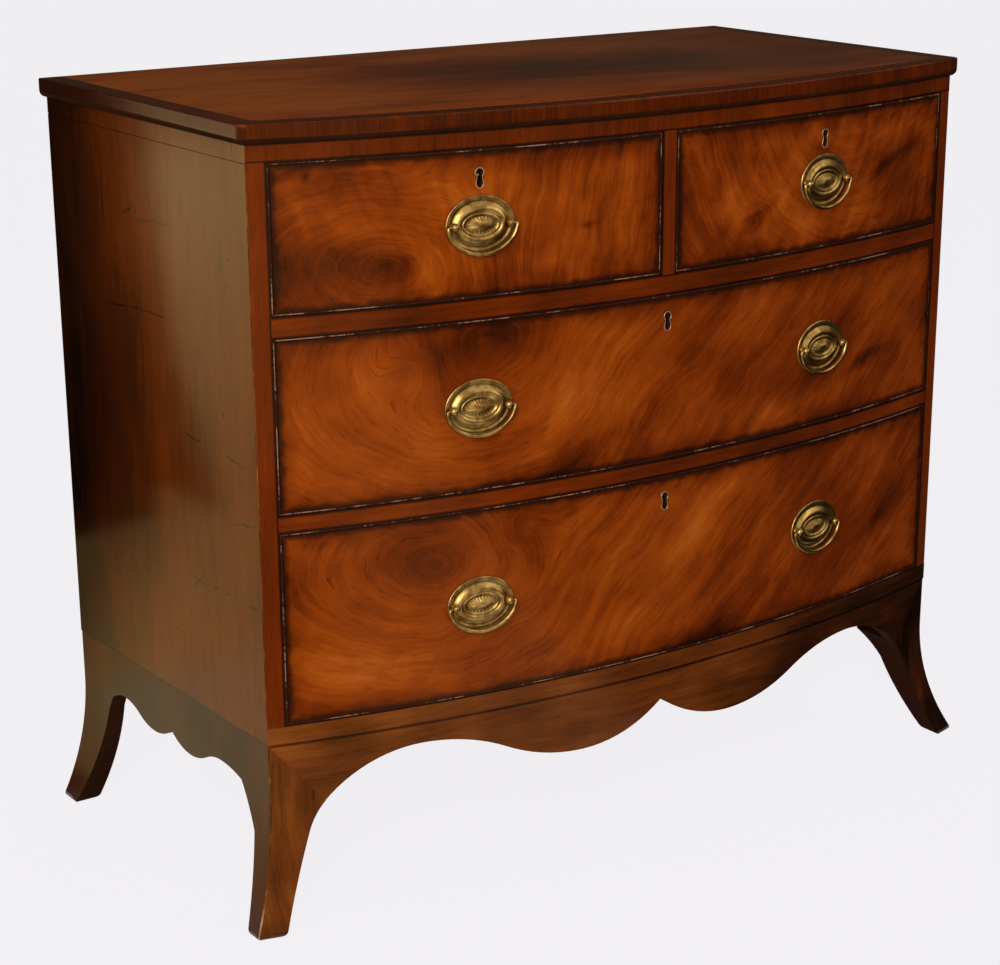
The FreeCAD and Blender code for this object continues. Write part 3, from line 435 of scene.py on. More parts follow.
sideMarks = [     # old scratches on the left side, as rows for patch() with their depth
    (81, 772, 16.5, 1.4, -22, 0.2), (61, 772, 7.1, 1.2, 72, 0.2), (41, 766, 15.9, 1.6, -7, 0.18),
    (-1, 768, 23, 1.4, 1, 0.15), (108, 659, 37.9, 0.8, -5, 0.3), (22, 663, 39.2, 0.8, 0, 0.3),
    (-53, 538, 14.4, 1.2, 4, 0.34), (-145, 532, 19, 1.4, 7, 0.34),
    (-134, 748, 9.9, 0.9, -85, 0.36), (-144, 722, 4.4, 1.2, -66, 0.26),
    (-153, 753, 1.6, 1.6, 0, 0.4), (-126, 579, 1.8, 1.8, 0, 0.4),
    (-162, 464, 26.6, 0.9, -11, 0.32), (-54, 371, 15.9, 1, 7, 0.3), (-54, 372, 17.8, 1, -34, 0.3),
    (-92, 373, 5, 1.2, -5, 0.36), (-119, 373, 4.5, 1.2, -6, 0.36), (-175, 373, 14, 1.2, -2, 0.3),
    (7, 297, 6.4, 1.6, 8, 0.26), (-77, 639, 12.2, 4, -86, 0.12)]
sideWood = straightWood("sideVeneer", "zyx", dict(sidePolish, marks=sideMarks))
farSideWood = straightWood("sideVeneerRight", "zyx", dict(sidePolish, seed=76, tone=0.5))
railWood = straightWood("railVeneer", "xzy", dict(
    seed=81, tone=0.34, bend=0.004, weights=(0.24, 0.24, 0.22, 0.12), cloud=8, cloudy=0.5,
    seams=[("z", openings)]))
friezeWood = straightWood("friezeVeneer", "zxy", dict(
    seed=91, tone=0.32, bend=0.002, weights=(0.2, 0.22, 0.2, 0.1), cloud=6, cloudy=0.3,
    seams=[("z", (0.8586, 0.8782))]))
based = shades(      # apron and feet are yellower
    (0.0, 20, 9, 4), (0.2, 54, 23, 7), (0.4, 94, 44, 12),
    (0.58, 124, 66, 22), (0.78, 152, 90, 40), (1.0, 186, 124, 68))
# the x gradients paint the apron darker towards the right: painted shade
apronWood = straightWood("apronVeneer", "xzy", dict(
    seed=101, tone=0.39, bend=0.03, weights=(0.4, 0.3, 0.24, 0.14), cloud=9, cloudy=0.4,
    stops=based, seams=[("z", (0.2155,))],
    fades=[("x", -0.1, 0.3, -0.16), ("x", 0.25, 0.48, -0.16)]))
# the x gradients paint the feet darker towards the right: painted shade
footWood = straightWood("footVeneer", "zxy", dict(
    seed=111, tone=0.4, bend=0.01, weights=(0.5, 0.42, 0.28, 0.14), cloud=12, cloudy=0.5,
    stops=based, fades=[("x", -0.3, 0.4, -0.26), ("x", -0.47, -0.42, -0.06)]))
baseSide = straightWood("baseSideVeneer", "zyx", dict(
    seed=121, tone=0.28, bend=0.01, weights=(0.16, 0.14, 0.1, 0.06), cloud=10, cloudy=0.3,
    stops=faded, shine=0.14))
# pale arrises: wear with a painted highlight; the x gradient paints the right foot's arris darker,
# painted shade, and the z gradient makes them paler towards the bottom
wornAndLit = based[:4] + shades((0.78, 164, 134, 104), (1.0, 210, 198, 180))
wornLitArris = straightWood("wornLitArris", "zxy", dict(
    seed=131, tone=0.36, bend=0.01, weights=(0.2, 0.3, 0.3, 0.1), cloud=60, cloudy=0.9,
    stops=wornAndLit, fades=[("z", 0.055, 0.012, 0.42), ("x", 0.2, 0.4, -0.2)]))


def backWood():      # faces that polish never reached
    finish = Finish("unpolishedBack", {"Specular IOR Level": 0.02})
    stain = finish.noise(finish.place, 14, 3, 0.6)
    finish.feed("Base Color", finish.blend(stain, colour(20, 9, 4), colour(56, 27, 11)))
    finish.feed("Roughness", stain * 0.2 + 0.7)
    finish.bump(stain, 0.0004, 0.3)
    return finish.material


inner = backWood()


def isAhead(normal):
    return normal.y < -0.6


def isUnder(normal):
    return normal.z < -0.9


def isUpright(normal):
    return abs(normal.z) < 0.8


def outerTest(node):      # true for faces that show on the end of the case
    outward = 1 if node.endswith("right") else -1
    isPlain = not node.startswith(("foot", "apron", "side"))
    return lambda normal: abs(normal.x) > 0.6 and (isPlain or normal.x * outward > 0)


rounding = dict(toe=0.007, footArris=0.0013, sideArris=0.0009)
woodParts = [      # nodes, veneer in front, veneer on the end, slot
    (["top_rail"], friezeWood, sideWood, "rail_veneer"),
    (["drawer_rail_upper", "drawer_rail_lower"], railWood, sideWood, "rail_veneer"),
    (["bottom_rail"], apronWood, sideWood, "rail_veneer"),
    (["centre_divider"], stileWood, stileWood, "rail_veneer"),
    (["apron_front"], apronWood, inner, "base_veneer"),
    (["apron_left", "apron_right"], inner, baseSide, "base_veneer"),
    (["foot_front_left", "foot_front_right"], footWood, baseSide, "base_veneer"),
    (["foot_rear_left", "foot_rear_right"], inner, baseSide, "base_veneer"),
    (["side_left"], stileWood, sideWood, "side_veneer"),
    (["side_right"], stileWood, farSideWood, "side_veneer"),
]
for node, frontWood, outerWood, slot in [(node, *rest) for nodes, *rest in woodParts
                                         for node in nodes]:
    shape = planed(node)
    isOuter = outerTest(node)
    wornLitFaces = []
    if node.startswith("foot"):
        eased(shape, rounding["toe"], 4, isUnder, isUpright)
        if "front" in node:
            wornLitFaces = eased(shape, rounding["footArris"], 2, isAhead, isOuter)
    elif node.startswith("side"):
        wornLitFaces = eased(shape, rounding["sideArris"], 2, isAhead, isOuter)
    for face in shape.faces:
        face.material_index = 0 if isAhead(face.normal) else 1 if isOuter(face.normal) else 2
    for face in wornLitFaces:
        if face.is_valid:
            face.material_index = 3
    piece(f"{node}_veneered", shape, [frontWood, outerWood, inner, wornLitArris], bodyOf[node],
          [node], sharp=26)
print("case veneered")


# the top

# edgeRow and sideRow are spare rows of vertices that keep the shading of the flats flat
slab = dict(
    frontProud=0.0088, cornerRound=0.012, underEase=0.0085, arris=0.0018, crossband=0.026,
    bowSteps=56, cornerSteps=6, underSteps=7, arrisSteps=4, edgeRow=0.0007, sideRow=0.002)
topLow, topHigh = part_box("top_board")
slabRadius = bow["radius"] + slab["frontProud"]


def slabOutline(inset):
    # bowed front between two rounded corners, straight sides, square back corners
    half = topHigh.x - inset
    radius = slabRadius - inset
    corner = slab["cornerRound"] - inset
    centreX = topHigh.x - slab["cornerRound"]
    centreY = bow["centreY"] - math.sqrt((slabRadius - slab["cornerRound"]) ** 2 - centreX ** 2)
    lean = math.atan2(centreX, bow["centreY"] - centreY)
    front, side = [], []
    for step in range(slab["bowSteps"] + 1):
        angle = -lean + 2 * lean * step / slab["bowSteps"]
        front.append((radius * math.sin(angle), bow["centreY"] - radius * math.cos(angle)))
    for step in range(1, slab["cornerSteps"] + 1):
        angle = lean + (math.pi / 2 - lean) * step / slab["cornerSteps"]
        side.append((centreX + corner * math.sin(angle), centreY - corner * math.cos(angle)))
    side += [(half, centreY + slab["sideRow"]), (half, topHigh.y)]
    return front + side + [(-x, y) for x, y in reversed(side)]


def quarter(radius, height, start, end, steps):
    # inset and height along a quarter round, angles from straight down
    angles = [math.radians(start + (end - start) * k / steps) for k in range(steps + 1)]
    return [(radius - radius * math.sin(a), height - radius * math.cos(a)) for a in angles]


underTop, arrisFoot = topLow.z + slab["underEase"], topHigh.z - slab["arris"]
profile = (quarter(slab["underEase"], underTop, 0, 90, slab["underSteps"])
           + [(0, underTop + slab["edgeRow"]), (0, arrisFoot - slab["edgeRow"])]
           + quarter(slab["arris"], arrisFoot, 90, 180, slab["arrisSteps"]))
shape = bmesh.new()
ringed(shape, [[(x, y, z) for x, y in slabOutline(inset)] for inset, z in profile])


def topVeneer():
    finish = Finish("topVeneer", polish)
    x, y, z = finish.x, finish.y, finish.z
    bend = finish.noise(finish.vector(x * 3, y * 6, 2.2), detail=3) - 0.5
    oval = finish.spot(x, y, (0.1, 0.0), (0.3, 0.11), -8)
    height = y + bend * 0.05 + oval * 0.16
    tone = grained(finish, height, x, y, 7.7, (0.55, 0.42, 0.24, 0.16)) + 0.6
    tone = tone - oval * 0.4 + finish.spot(x, y, (-0.4, 0.014), (0.2, 0.2)) * 0.14
    edge = topHigh.x - x.maths("ABSOLUTE")
    front = y - bow["centreY"] + (slabRadius ** 2 - x * x) ** 0.5
    rim = edge.maths("MINIMUM", front)
    band = 1 - finish.smooth(rim, slab["crossband"] - 0.0004, slab["crossband"] + 0.0004)
    cross = grained(finish, x + y * 0.2, y, z, 17, (0.2, 0.22, 0.2, 0.1)) + 0.25
    sideBand = grained(finish, y, x, z, 19, (0.12, 0.1, 0.1, 0.05)) + 0.26
    # painted shade: the side edge of the top darker towards the rear
    sideBand = sideBand - finish.smooth(y, 0.02, 0.2) * 0.16
    isSide = finish.smooth(front - edge, -0.001, 0.001)
    bandTone = cross * (1 - isSide) + sideBand * isSide
    line = 1 - finish.smooth((rim - slab["crossband"]).maths("ABSOLUTE"), 0.0002, 0.0009)
    tone = tone.maths("MINIMUM", 0.74) * (1 - band) + bandTone * band - line * 0.25
    # the arris is painted pale, wear with a painted highlight; the rounded front corners get
    # painted shade, with a painted highlight at their top
    wornAndLit = finish.smooth(finish.noise(finish.place, 30, 4, 0.6), 0.5, 0.7)
    arris = (finish.smooth(z, topHigh.z - 0.0022, topHigh.z - 0.0008)
             * (1 - finish.smooth(rim, 0.001, 0.0024)))
    corner = finish.spot(edge, front, (0.003, 0.003), (0.004, 0.004))
    tip = finish.smooth(z, topHigh.z - 0.005, topHigh.z - 0.001)
    tone = tone + arris * wornAndLit * 0.16 + corner * (tip * 0.26 - 0.1)
    return lacquered(finish, tone, shine=0.12)


# faces that look down take the dark unpolished finish: the underside is unpolished, and on the
# rounded under-ease at the front it is painted shade
for face in shape.faces:
    face.normal_update()
    face.material_index = 1 if face.normal.z < -0.12 else 0
piece("top_panel", shape, [topVeneer(), inner], bodyOf["top_board"], ["top_board"])
print("top made")


# cock beads

bead = dict(
    thickness=0.003, depth=0.0098, proud=0.0023, nose=0.00145, shortSteps=22, longSteps=40)


def beadWood(name, low, high):
    finish = Finish(name, {"Specular IOR Level": 0.08, "Roughness": 0.3,
                           "Specular Tint": (1, 0.6, 0.4, 1)})
    # the outermost line is near-black, painted shadow of the gap; the pale band just inside it is
    # wear with a painted highlight; the inner side is dark with dirt
    edge = borderDistance(finish, low, high)
    streak = finish.noise(finish.place, 16, 4, 0.62)
    scuff = finish.noise(finish.place, 240, 2, 0.6)
    wornAndLit = finish.smooth(edge, 0.0004, 0.0009) * (1 - finish.smooth(edge, 0.0012, 0.002))
    wearAndHighlight = finish.smooth(streak + (scuff - 0.5) * 0.36, 0.5, 0.64) * wornAndLit
    dark = finish.blend(scuff, colour(30, 13, 7), colour(74, 38, 24))
    body = finish.blend(wornAndLit * 0.75 + 0.25, colour(16, 6, 3), dark)
    finish.feed("Base Color", finish.blend(wearAndHighlight * 0.75, body, colour(170, 124, 98)))
    finish.bump(scuff, 0.0002)
    return finish.material


def beadTree():
    tree = bpy.data.node_groups.new("cockBeadStrips", "GeometryNodeTree")
    inputs = {"Geometry": "Geometry", "Thickness": "Float", "Depth": "Float",
              "Nose Radius": "Float", "Bow Centre": "Vector", "Wood": "Material"}
    for name, kind in inputs.items():
        tree.interface.new_socket(name, in_out="INPUT", socket_type="NodeSocket" + kind)
    tree.interface.new_socket("Geometry", in_out="OUTPUT", socket_type="NodeSocketGeometry")
    graph = Graph(tree)
    given = tree.nodes.new("NodeGroupInput")
    path, thickness, depth, nose, centre, wood = [Wire(graph, given.outputs[k]) for k in range(6)]
    place = graph.node("GeometryNodeInputPosition")
    outward = graph.node("ShaderNodeVectorMath", {"operation": "MULTIPLY"},
                         {0: graph.node("ShaderNodeVectorMath", {"operation": "SUBTRACT"},
                                        {0: place, 1: centre}), 1: (1, 1, 0)})
    curve = graph.node("GeometryNodeMeshToCurve", {}, {"Mesh": path})
    facing = graph.node("GeometryNodeSetCurveNormal", {"mode": "FREE"},
                        {"Curve": curve, "Normal": outward})
    strip = graph.node("GeometryNodeCurvePrimitiveQuadrilateral", {"mode": "RECTANGLE"},
                       {"Width": thickness, "Height": depth})
    rounded = graph.node("GeometryNodeFilletCurve", {"mode": "POLY"},
                         {"Curve": strip, "Count": 3, "Radius": nose})
    rail = graph.node("GeometryNodeCurveToMesh", {},
                      {"Curve": facing, "Profile Curve": rounded, "Fill Caps": True})
    solid = graph.node("GeometryNodeRealizeInstances", {}, {"Geometry": rail})
    painted = graph.node("GeometryNodeSetMaterial", {}, {"Geometry": solid, "Material": wood})
    out = tree.nodes.new("NodeGroupOutput")
    tree.links.new(painted.out, out.inputs[0])
    return tree


beadNodes = beadTree()


def applied(name, path, tree, settings, body, nodes):
    # runs a node tree on a path mesh and keeps the result as one plain mesh
    carrier = added(name + "_path", path)
    modifier = carrier.modifiers.new(name, "NODES")
    modifier.node_group = tree
    for item in tree.interface.items_tree:
        if item.in_out == "INPUT" and item.name in settings:
            modifier[item.identifier] = settings[item.name]
    carrier.update_tag()
    bpy.context.view_layer.update()
    seen = bpy.context.evaluated_depsgraph_get()
    mesh = bpy.data.meshes.new_from_object(carrier.evaluated_get(seen))
    carrier.modifiers.clear()
    bpy.data.objects.remove(carrier)
    placed(name, mesh, body, nodes)


for drawer in figures:
    low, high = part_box(f"drawer_{drawer}_front")
    inset = bead["depth"] / 2 - bead["proud"]
    half = bead["thickness"] / 2
    left, right = low.x + half, high.x - half
    bottom, top = low.z + half, high.z - half
    steps = bead["shortSteps" if drawer.startswith("short") else "longSteps"]
    path = bpy.data.meshes.new("beadPath")
    points, links = [], []
    for z in (bottom, top):
        for step in range(steps + 1):
            x = low.x + (high.x - low.x) * step / steps
            points.append((x, onBow(x, -inset), z))
            if step:
                links.append((len(points) - 2, len(points) - 1))
    for x in (left, right):
        points += [(x, onBow(x, -inset), bottom), (x, onBow(x, -inset), top)]
        links.append((len(points) - 2, len(points) - 1))
    path.from_pydata(points, links, [])
    node = f"drawer_{drawer}_cock_beads"
    applied(f"cock_beads_{drawer}", path, beadNodes,
            {"Thickness": bead["thickness"], "Depth": bead["depth"], "Nose Radius": bead["nose"],
             "Bow Centre": (0, bow["centreY"], 0),
             "Wood": beadWood(f"cockBead_{drawer}", low, high)},
            bodyOf[node], [node])
print("cock beads laid")


# brass handles

handle = dict(
    plateLength=0.0835, plateHeight=0.063, pivotProud=0.0073, spacing=0.067, sides=192,
    milling=96, rays=24, rod=0.00225, pin=0.0013, ball=0.0048, neck=0.0026, length=0.0825,
    drop=0.0314, endRadius=0.0245, shank=0.002, frontThickness=0.024, tail=0.0015, nut=0.0048,
    nutFace=0.0042, nutThickness=0.003, nutEase=0.0003, collar=0.0012, collarShare=1.5)
# thousandths of the plate's half length and half height, how proud in mm, how dark in hundredths:
# tarnish in the hollows with painted shade
plateRings = [
    (1000, 1000, 0, 80), (1000, 1000, 0, 43), (998, 997, 0.8, 19), (988, 984, 1.5, 3),
    (970, 962, 1.8, 9), (955, 944, 1.6, 31), (940, 926, 1.8, 12), (915, 896, 2, 9),
    (888, 864, 1.9, 15), (868, 840, 1.3, 53), (850, 818, 0.9, 62), (830, 790, 0.8, 59),
    (805, 752, 1.1, 37), (775, 710, 2, 12), (740, 664, 3.1, 3), (705, 616, 3.9, 0),
    (668, 566, 4.4, 0), (630, 514, 4.5, 3), (600, 474, 4.2, 15), (578, 444, 3.6, 37),
    (562, 424, 3.2, 59), (548, 408, 3.3, 43), (532, 390, 3.8, 12), (512, 370, 3.9, 6),
    (492, 348, 3.5, 28), (470, 322, 2.8, 50), (445, 296, 2.3, 56), (415, 266, 2.2, 37),
    (370, 232, 2.6, 22), (320, 196, 3.4, 15), (265, 158, 4.4, 9), (210, 122, 5.1, 6),
    (150, 86, 5.6, 3), (95, 54, 5.85, 3), (50, 28, 5.95, 0), (15, 9, 6, 0),
]


class Place:      # the handle's own directions: along its pivot, out from the drawer, and up
    def __init__(self, centre, along):
        self.centre = centre
        self.along = along
        self.out = Vector((along.y, -along.x, 0))

    def at(self, u, proud, v):
        return self.centre + self.along * u + self.out * proud + Vector((0, 0, v))


def ovalPlate(shape, place, shade):
    rings, values = [], []
    count = handle["sides"]
    for shareU, shareV, proud, dark in plateRings:
        shareU, shareV, dark = shareU / 1000, shareV / 1000, dark / 100
        ring, tones = [], []
        for k in range(count):
            angle = 2 * math.pi * k / count
            lift, tone = 0.0, dark
            if 0.88 < shareU < 0.95:           # milled edge, with painted shade between its beads
                notch = 0.5 + 0.5 * math.cos(angle * handle["milling"])
                lift, tone = -0.5 * notch, dark + 0.55 * notch
            if 0.12 < shareU < 0.46:           # fan of petals, with painted shade in the valleys
                valley = (0.5 + 0.5 * math.cos(angle * handle["rays"])) ** 2
                deep = min(1, (shareU - 0.1) / 0.15) * (1 - 0.4 * abs(math.cos(angle)))
                lift, tone = -0.6 * valley * deep, dark + 0.6 * valley * deep
            ring.append(place.at(handle["plateLength"] / 2 * shareU * math.cos(angle),
                                 (proud + lift) * 0.001,
                                 handle["plateHeight"] / 2 * shareV * math.sin(angle)))
            tones.append(tone)
        rings.append(ring)
        values.append(tones)
    ringed(shape, rings, shade, values)


def turnedBar(shape, place, u, profile, shade, sides=24):
    # a round bar on a line out from the drawer, as (radius, proud) pairs
    rings = [[place.at(u + radius * math.cos(a), proud, radius * math.sin(a))
              for a in [2 * math.pi * k / sides for k in range(sides)]]
             for radius, proud in profile]
    # thin necks and shanks are darker: tarnish with painted shade under the balls
    ringed(shape, rings, shade, [0.35 if radius < 0.004 else 0.05 for radius, proud in profile])


def ballPost(shape, place, u, shade):
    ball, neck, proud = handle["ball"], handle["neck"], handle["pivotProud"]
    front, thick = handle["frontThickness"], handle["nutThickness"]
    back = -front - thick - handle["tail"]
    meets = math.asin(neck / ball)
    balls = [(ball * math.sin(a), proud - ball * math.cos(a))
             for a in [meets + (math.pi - 0.12 - meets) * k / 11 for k in range(12)]]
    shank, collar, ease = handle["shank"], neck * handle["collarShare"], handle["nutEase"]
    turnedBar(shape, place, u, [(shank, back), (shank, 0.0003), (collar, 0.0003),
                                (collar, handle["collar"]), (neck, 0.0022)] + balls, shade)
    nut = [(handle["nutFace"], -ease), (handle["nut"], -0.0007), (handle["nut"], ease - thick),
           (handle["nutFace"], -thick)]
    turnedBar(shape, place, u, [(radius, -front + depth) for radius, depth in reversed(nut)],
              shade, 6)


def bailPath():
    # (u, v, radius): a wide arc below, a tight turn at each end, then in along the pivot
    end, drop, turn = handle["length"] / 2, handle["drop"], handle["endRadius"]
    rod, pin = handle["rod"], handle["pin"]
    reach, spare = end - turn, drop - turn
    rise = (reach ** 2 - spare ** 2) / (2 * spare)
    low = drop + rise
    join = math.atan2(reach, rise)
    half = []
    for step in range(13):
        angle = join * step / 12
        half.append((low * math.sin(angle), rise - low * math.cos(angle)))
    for step in range(1, 11):
        angle = math.pi / 2 - join - (math.pi / 2 - join - math.radians(9)) * step / 10
        half.append((reach + turn * math.cos(angle), -turn * math.sin(angle)))
    half = [(u, v, rod) for u, v in half]
    half += [(end + 0.0001, -0.0022, rod * 0.9), (end - 0.0004, -0.0008, rod * 0.78),
             (end - 0.0018, 0.0, pin), (end - 0.0040, 0.0, pin),
             (handle["spacing"] / 2 - 0.001, 0.0, pin)]
    return [(-u, v, radius) for u, v, radius in reversed(half[1:])] + half


def bailRod(shape, place, shade, sides=16):
    path = bailPath()
    rings = []
    for k, (u, v, radius) in enumerate(path):
        before, after = path[max(k - 1, 0)], path[min(k + 1, len(path) - 1)]
        run = Vector((after[0] - before[0], after[1] - before[1])).normalized()
        rings.append([place.at(u - run.y * radius * math.cos(a),
                               handle["pivotProud"] + radius * math.sin(a),
                               v + run.x * radius * math.cos(a))
                      for a in [2 * math.pi * j / sides for j in range(sides)]])
    ringed(shape, rings, shade, [0.05] * len(rings))


def agedBrass():
    finish = Finish("agedBrass", {"Metallic": 1.0})
    dark = finish.node("ShaderNodeAttribute", {"attribute_name": "hollow"}, output=2)
    cloud = finish.noise(finish.place, 80, 3, 0.6)
    speck = finish.noise(finish.place, 700, 2, 0.6)
    # the hollow attribute darkens the brass: tarnish in the hollows with painted shade
    tarnishAndShade = finish.smooth(dark + (cloud - 0.5) * 0.5 + (speck - 0.5) * 0.12, 0.0, 1.15)
    bright = finish.blend(finish.smooth(cloud, 0.4, 0.62), colour(174, 138, 74),
                          colour(130, 94, 46))
    finish.feed("Base Color", finish.blend(tarnishAndShade, bright, colour(66, 46, 12)))
    finish.feed("Roughness", tarnishAndShade * 0.24 + cloud * 0.14 + 0.24)
    finish.bump(speck, 0.0002, 0.15)
    return finish.material


brass = agedBrass()
places = {}
for joint in frame["joints"]:
    if joint["name"].startswith("bail_"):
        place = Place(Vector(joint["pos_m"]), Vector(joint["axis"]) * -1)
        place.centre -= place.out * handle["pivotProud"]
        places[joint["child"]] = place
        shape = bmesh.new()
        shade = shape.verts.layers.float.new("hollow")
        bailRod(shape, place, shade)
        node = [n for n, body in bodyOf.items() if body == joint["child"]]
        piece(f"{joint['child']}_rod", shape, [brass], joint["child"], node, sharp=50)
for drawer in figures:
    shape = bmesh.new()
    shade = shape.verts.layers.float.new("hollow")
    for bail, place in places.items():
        if bail.startswith(f"bail_{drawer}"):
            ovalPlate(shape, place, shade)
            for side in (-1, 1):
                ballPost(shape, place, side * handle["spacing"] / 2, shade)
    node = f"drawer_{drawer}_handles"
    piece(f"handle_plates_{drawer}", shape, [brass], bodyOf[node], [node], sharp=60)
print("handles made")


# keyholes and locks

keyhole = dict(
    head=0.0056, foot=0.0053, spread=0.0123, headGap=80, footGap=130, wall=0.0013, proud=0.0003,
    ease=0.0002, depth=0.003, drop=0.0307, tallest=0.03, pinPlace=(-0.001, -0.0028),
    pin=[(0.0012, -0.012), (0.0012, -0.0009), (0.0009, -0.0003), (0.0004, 0.0)],
    pinSunk=dict(short_left=0.0012, short_right=0.006, middle=0.0065, bottom=0.007))


def keyholeOutline(inset):
    points = []
    for radius, centre, towards, gap, steps in (
            (keyhole["head"], keyhole["spread"] / 2, -90, keyhole["headGap"], 18),
            (keyhole["foot"], -keyhole["spread"] / 2, 90, keyhole["footGap"], 12)):
        for step in range(steps + 1):
            angle = math.radians(towards + gap / 2 + (360 - gap) * step / steps)
            points.append(((radius - inset) * math.cos(angle),
                           centre + (radius - inset) * math.sin(angle)))
    return points


def cloudyMetal(name, metallic, scale, detail, tints, rough, relief=0):
    finish = Finish(name, {"Metallic": metallic})
    cloud = finish.noise(finish.place, scale, detail, 0.6)
    finish.feed("Base Color", finish.blend(cloud, *tints))
    finish.feed("Roughness", cloud * rough[0] + rough[1])
    if relief:
        finish.bump(cloud, relief, 0.3)
    return finish.material


def islandsOf(shape):     # the vertices of each loose part
    seen, islands = set(), []
    for vert in shape.verts:
        island, ahead = [], [vert]
        while ahead:
            here = ahead.pop()
            if here not in seen:
                seen.add(here)
                island.append(here)
                ahead += [edge.other_vert(here) for edge in here.link_edges]
        if island:
            islands.append(island)
    return islands


steel = cloudyMetal("lockSteel", 0.9, 60, 4, (colour(30, 25, 20), colour(84, 72, 58)),
                    (0.3, 0.3), 0.0003)
thread = cloudyMetal("paleThread", 0.85, 300, 2, (colour(206, 160, 118), colour(150, 106, 70)),
                     (0.2, 0.28))
for drawer in figures:
    node = f"drawer_{drawer}_lock"
    shape = planed(node)
    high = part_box(f"drawer_{drawer}_front")[1]
    for island in islandsOf(shape):     # the facetted brass thread makes way for a smooth one
        heights = [vert.co.z for vert in island]
        if max(heights) - min(heights) < keyhole["tallest"]:
            bmesh.ops.delete(shape, geom=island, context="VERTS")
    if drawer.startswith("short"):
        bail = places[f"bail_{drawer}"]
        place = Place(bail.centre.copy(), bail.along)
    else:
        place = Place(Vector((0, onBow(0), 0)), Vector((1, 0, 0)))
    place.centre.z = high.z - keyhole["drop"]
    wall, proud, depth, ease = [keyhole[name] for name in ("wall", "proud", "depth", "ease")]
    rows = [(0.0, -depth), (0.0, proud - ease), (ease, proud), (wall - ease, proud),
            (wall, proud - ease), (wall, -depth)]
    made = ringed(shape, [[place.at(u, proud, v) for u, v in keyholeOutline(inset)]
                          for inset, proud in rows], closed=False)
    for k in range(len(made[0])):
        shape.faces.new((made[-1][k - 1], made[-1][k], made[0][k], made[0][k - 1]))
    pinU, pinV = keyhole["pinPlace"]
    head = Place(place.centre + Vector((0, 0, keyhole["spread"] / 2 + pinV)), place.along)
    sunk = keyhole["pinSunk"][drawer]
    before = set(shape.faces)
    turnedBar(shape, head, pinU, [(radius, -sunk + proud) for radius, proud in keyhole["pin"]],
              None, 12)
    for face in set(shape.faces) - before:
        face.material_index = 1
    for vert in sum(made, []):
        for face in vert.link_faces:
            face.material_index = 1
    for vert in made[-1]:               # the inside of the hole gets the same painted shade
        for face in vert.link_faces:
            face.material_index = 2
    piece(f"lock_and_thread_{drawer}", shape, [steel, thread, hollow.material], bodyOf[node],
          [node], sharp=40)
print("locks made")


# linings, carcase and bolts

def boardWood(name, axes, pale, dark, seed):
    finish = Finish(name, {"Specular IOR Level": 0.2})
    run, side, depth = [getattr(finish, axis) for axis in axes]
    bend = finish.noise(finish.vector(run * 4, seed, side * 9), detail=2) - 0.5
    tone = grained(finish, side + bend * 0.03, run, depth, seed, (0.5, 0.45, 0.4, 0.3)) + 0.5
    stain = finish.noise(finish.place, 7, 4, 0.6)
    finish.feed("Base Color", finish.blend(finish.smooth(stain, 0.5, 0.8) * 0.4,
                                           finish.blend(tone, dark, pale), colour(60, 40, 24)))
    finish.feed("Roughness", stain * 0.2 + 0.55)
    finish.bump(tone, 0.0004, 0.4)
    return finish.material


oak = (colour(178, 134, 84), colour(120, 82, 46))
pine = (colour(150, 104, 58), colour(96, 62, 32))
linings = {"_sides": boardWood("oakSides", "yzx", *oak, 5),
           "_back": boardWood("oakBack", "xzy", *oak, 6),
           "_bottom": boardWood("oakBottom", "yxz", *oak, 7)}
pineUpright = boardWood("pineUpright", "zxy", *pine, 8)
pineLong = boardWood("pineLong", "xzy", *pine, 11)
pineFlat = boardWood("pineFlat", "xyz", *pine, 9)
pineDeep = boardWood("pineDeep", "yxz", *pine, 10)
plainNodes = {"back_boards": pineLong, "dust_boards": pineFlat, "case_bottom": pineFlat,
              "drawer_runners": pineDeep, "drawer_stops": pineFlat, "glue_blocks": pineUpright}
for drawer in figures:
    plainNodes[f"lock_bolt_{drawer}"] = steel
    for ending, wood in linings.items():
        plainNodes[f"drawer_{drawer}{ending}"] = wood
for node, material in plainNodes.items():
    solid = frame["nodes"][node]
    for materialSlot in solid.material_slots:
        materialSlot.material = material
    if not solid.material_slots:
        solid.data.materials.append(material)
print("linings and carcase finished")


# floor, light and camera

studio = dict(
    paper=colour(243, 241, 244), world=0.3, glow=0.93, aim=(0, 0, 0.5),
    lamps=dict(keyLight=((-2.9, -3.3, 2.3), 2.2, 160), fillLight=((2.6, -3.0, 1.9), 2.0, 22)))


def seenDirectly(graph):    # camera, glossy and transmission rays see the plain background
    rays = graph.tree.nodes.new("ShaderNodeLightPath")
    camera, glossy, through = [Wire(graph, rays.outputs[name]) for name in
                               ("Is Camera Ray", "Is Glossy Ray", "Is Transmission Ray")]
    return camera.maths("MAXIMUM", glossy.maths("MAXIMUM", through))


world = bpy.data.worlds.new("studioWorld")
bpy.context.scene.world = world
world.use_nodes = True
graph = Graph(world.node_tree)
background = world.node_tree.nodes["Background"]
background.inputs["Color"].default_value = studio["paper"]
strength = seenDirectly(graph) * (1 - studio["world"]) + studio["world"]
world.node_tree.links.new(strength.out, background.inputs["Strength"])


def flat(height, *corners):      # corners at one height
    return [(x, y, height) for x, y in corners]


def card(name, corners, material):     # a flat sheet of the studio
    mesh = bpy.data.meshes.new(name)
    mesh.from_pydata(corners, [], [range(len(corners))])
    mesh.materials.append(material)
    sheet = added(name, mesh)
    return sheet


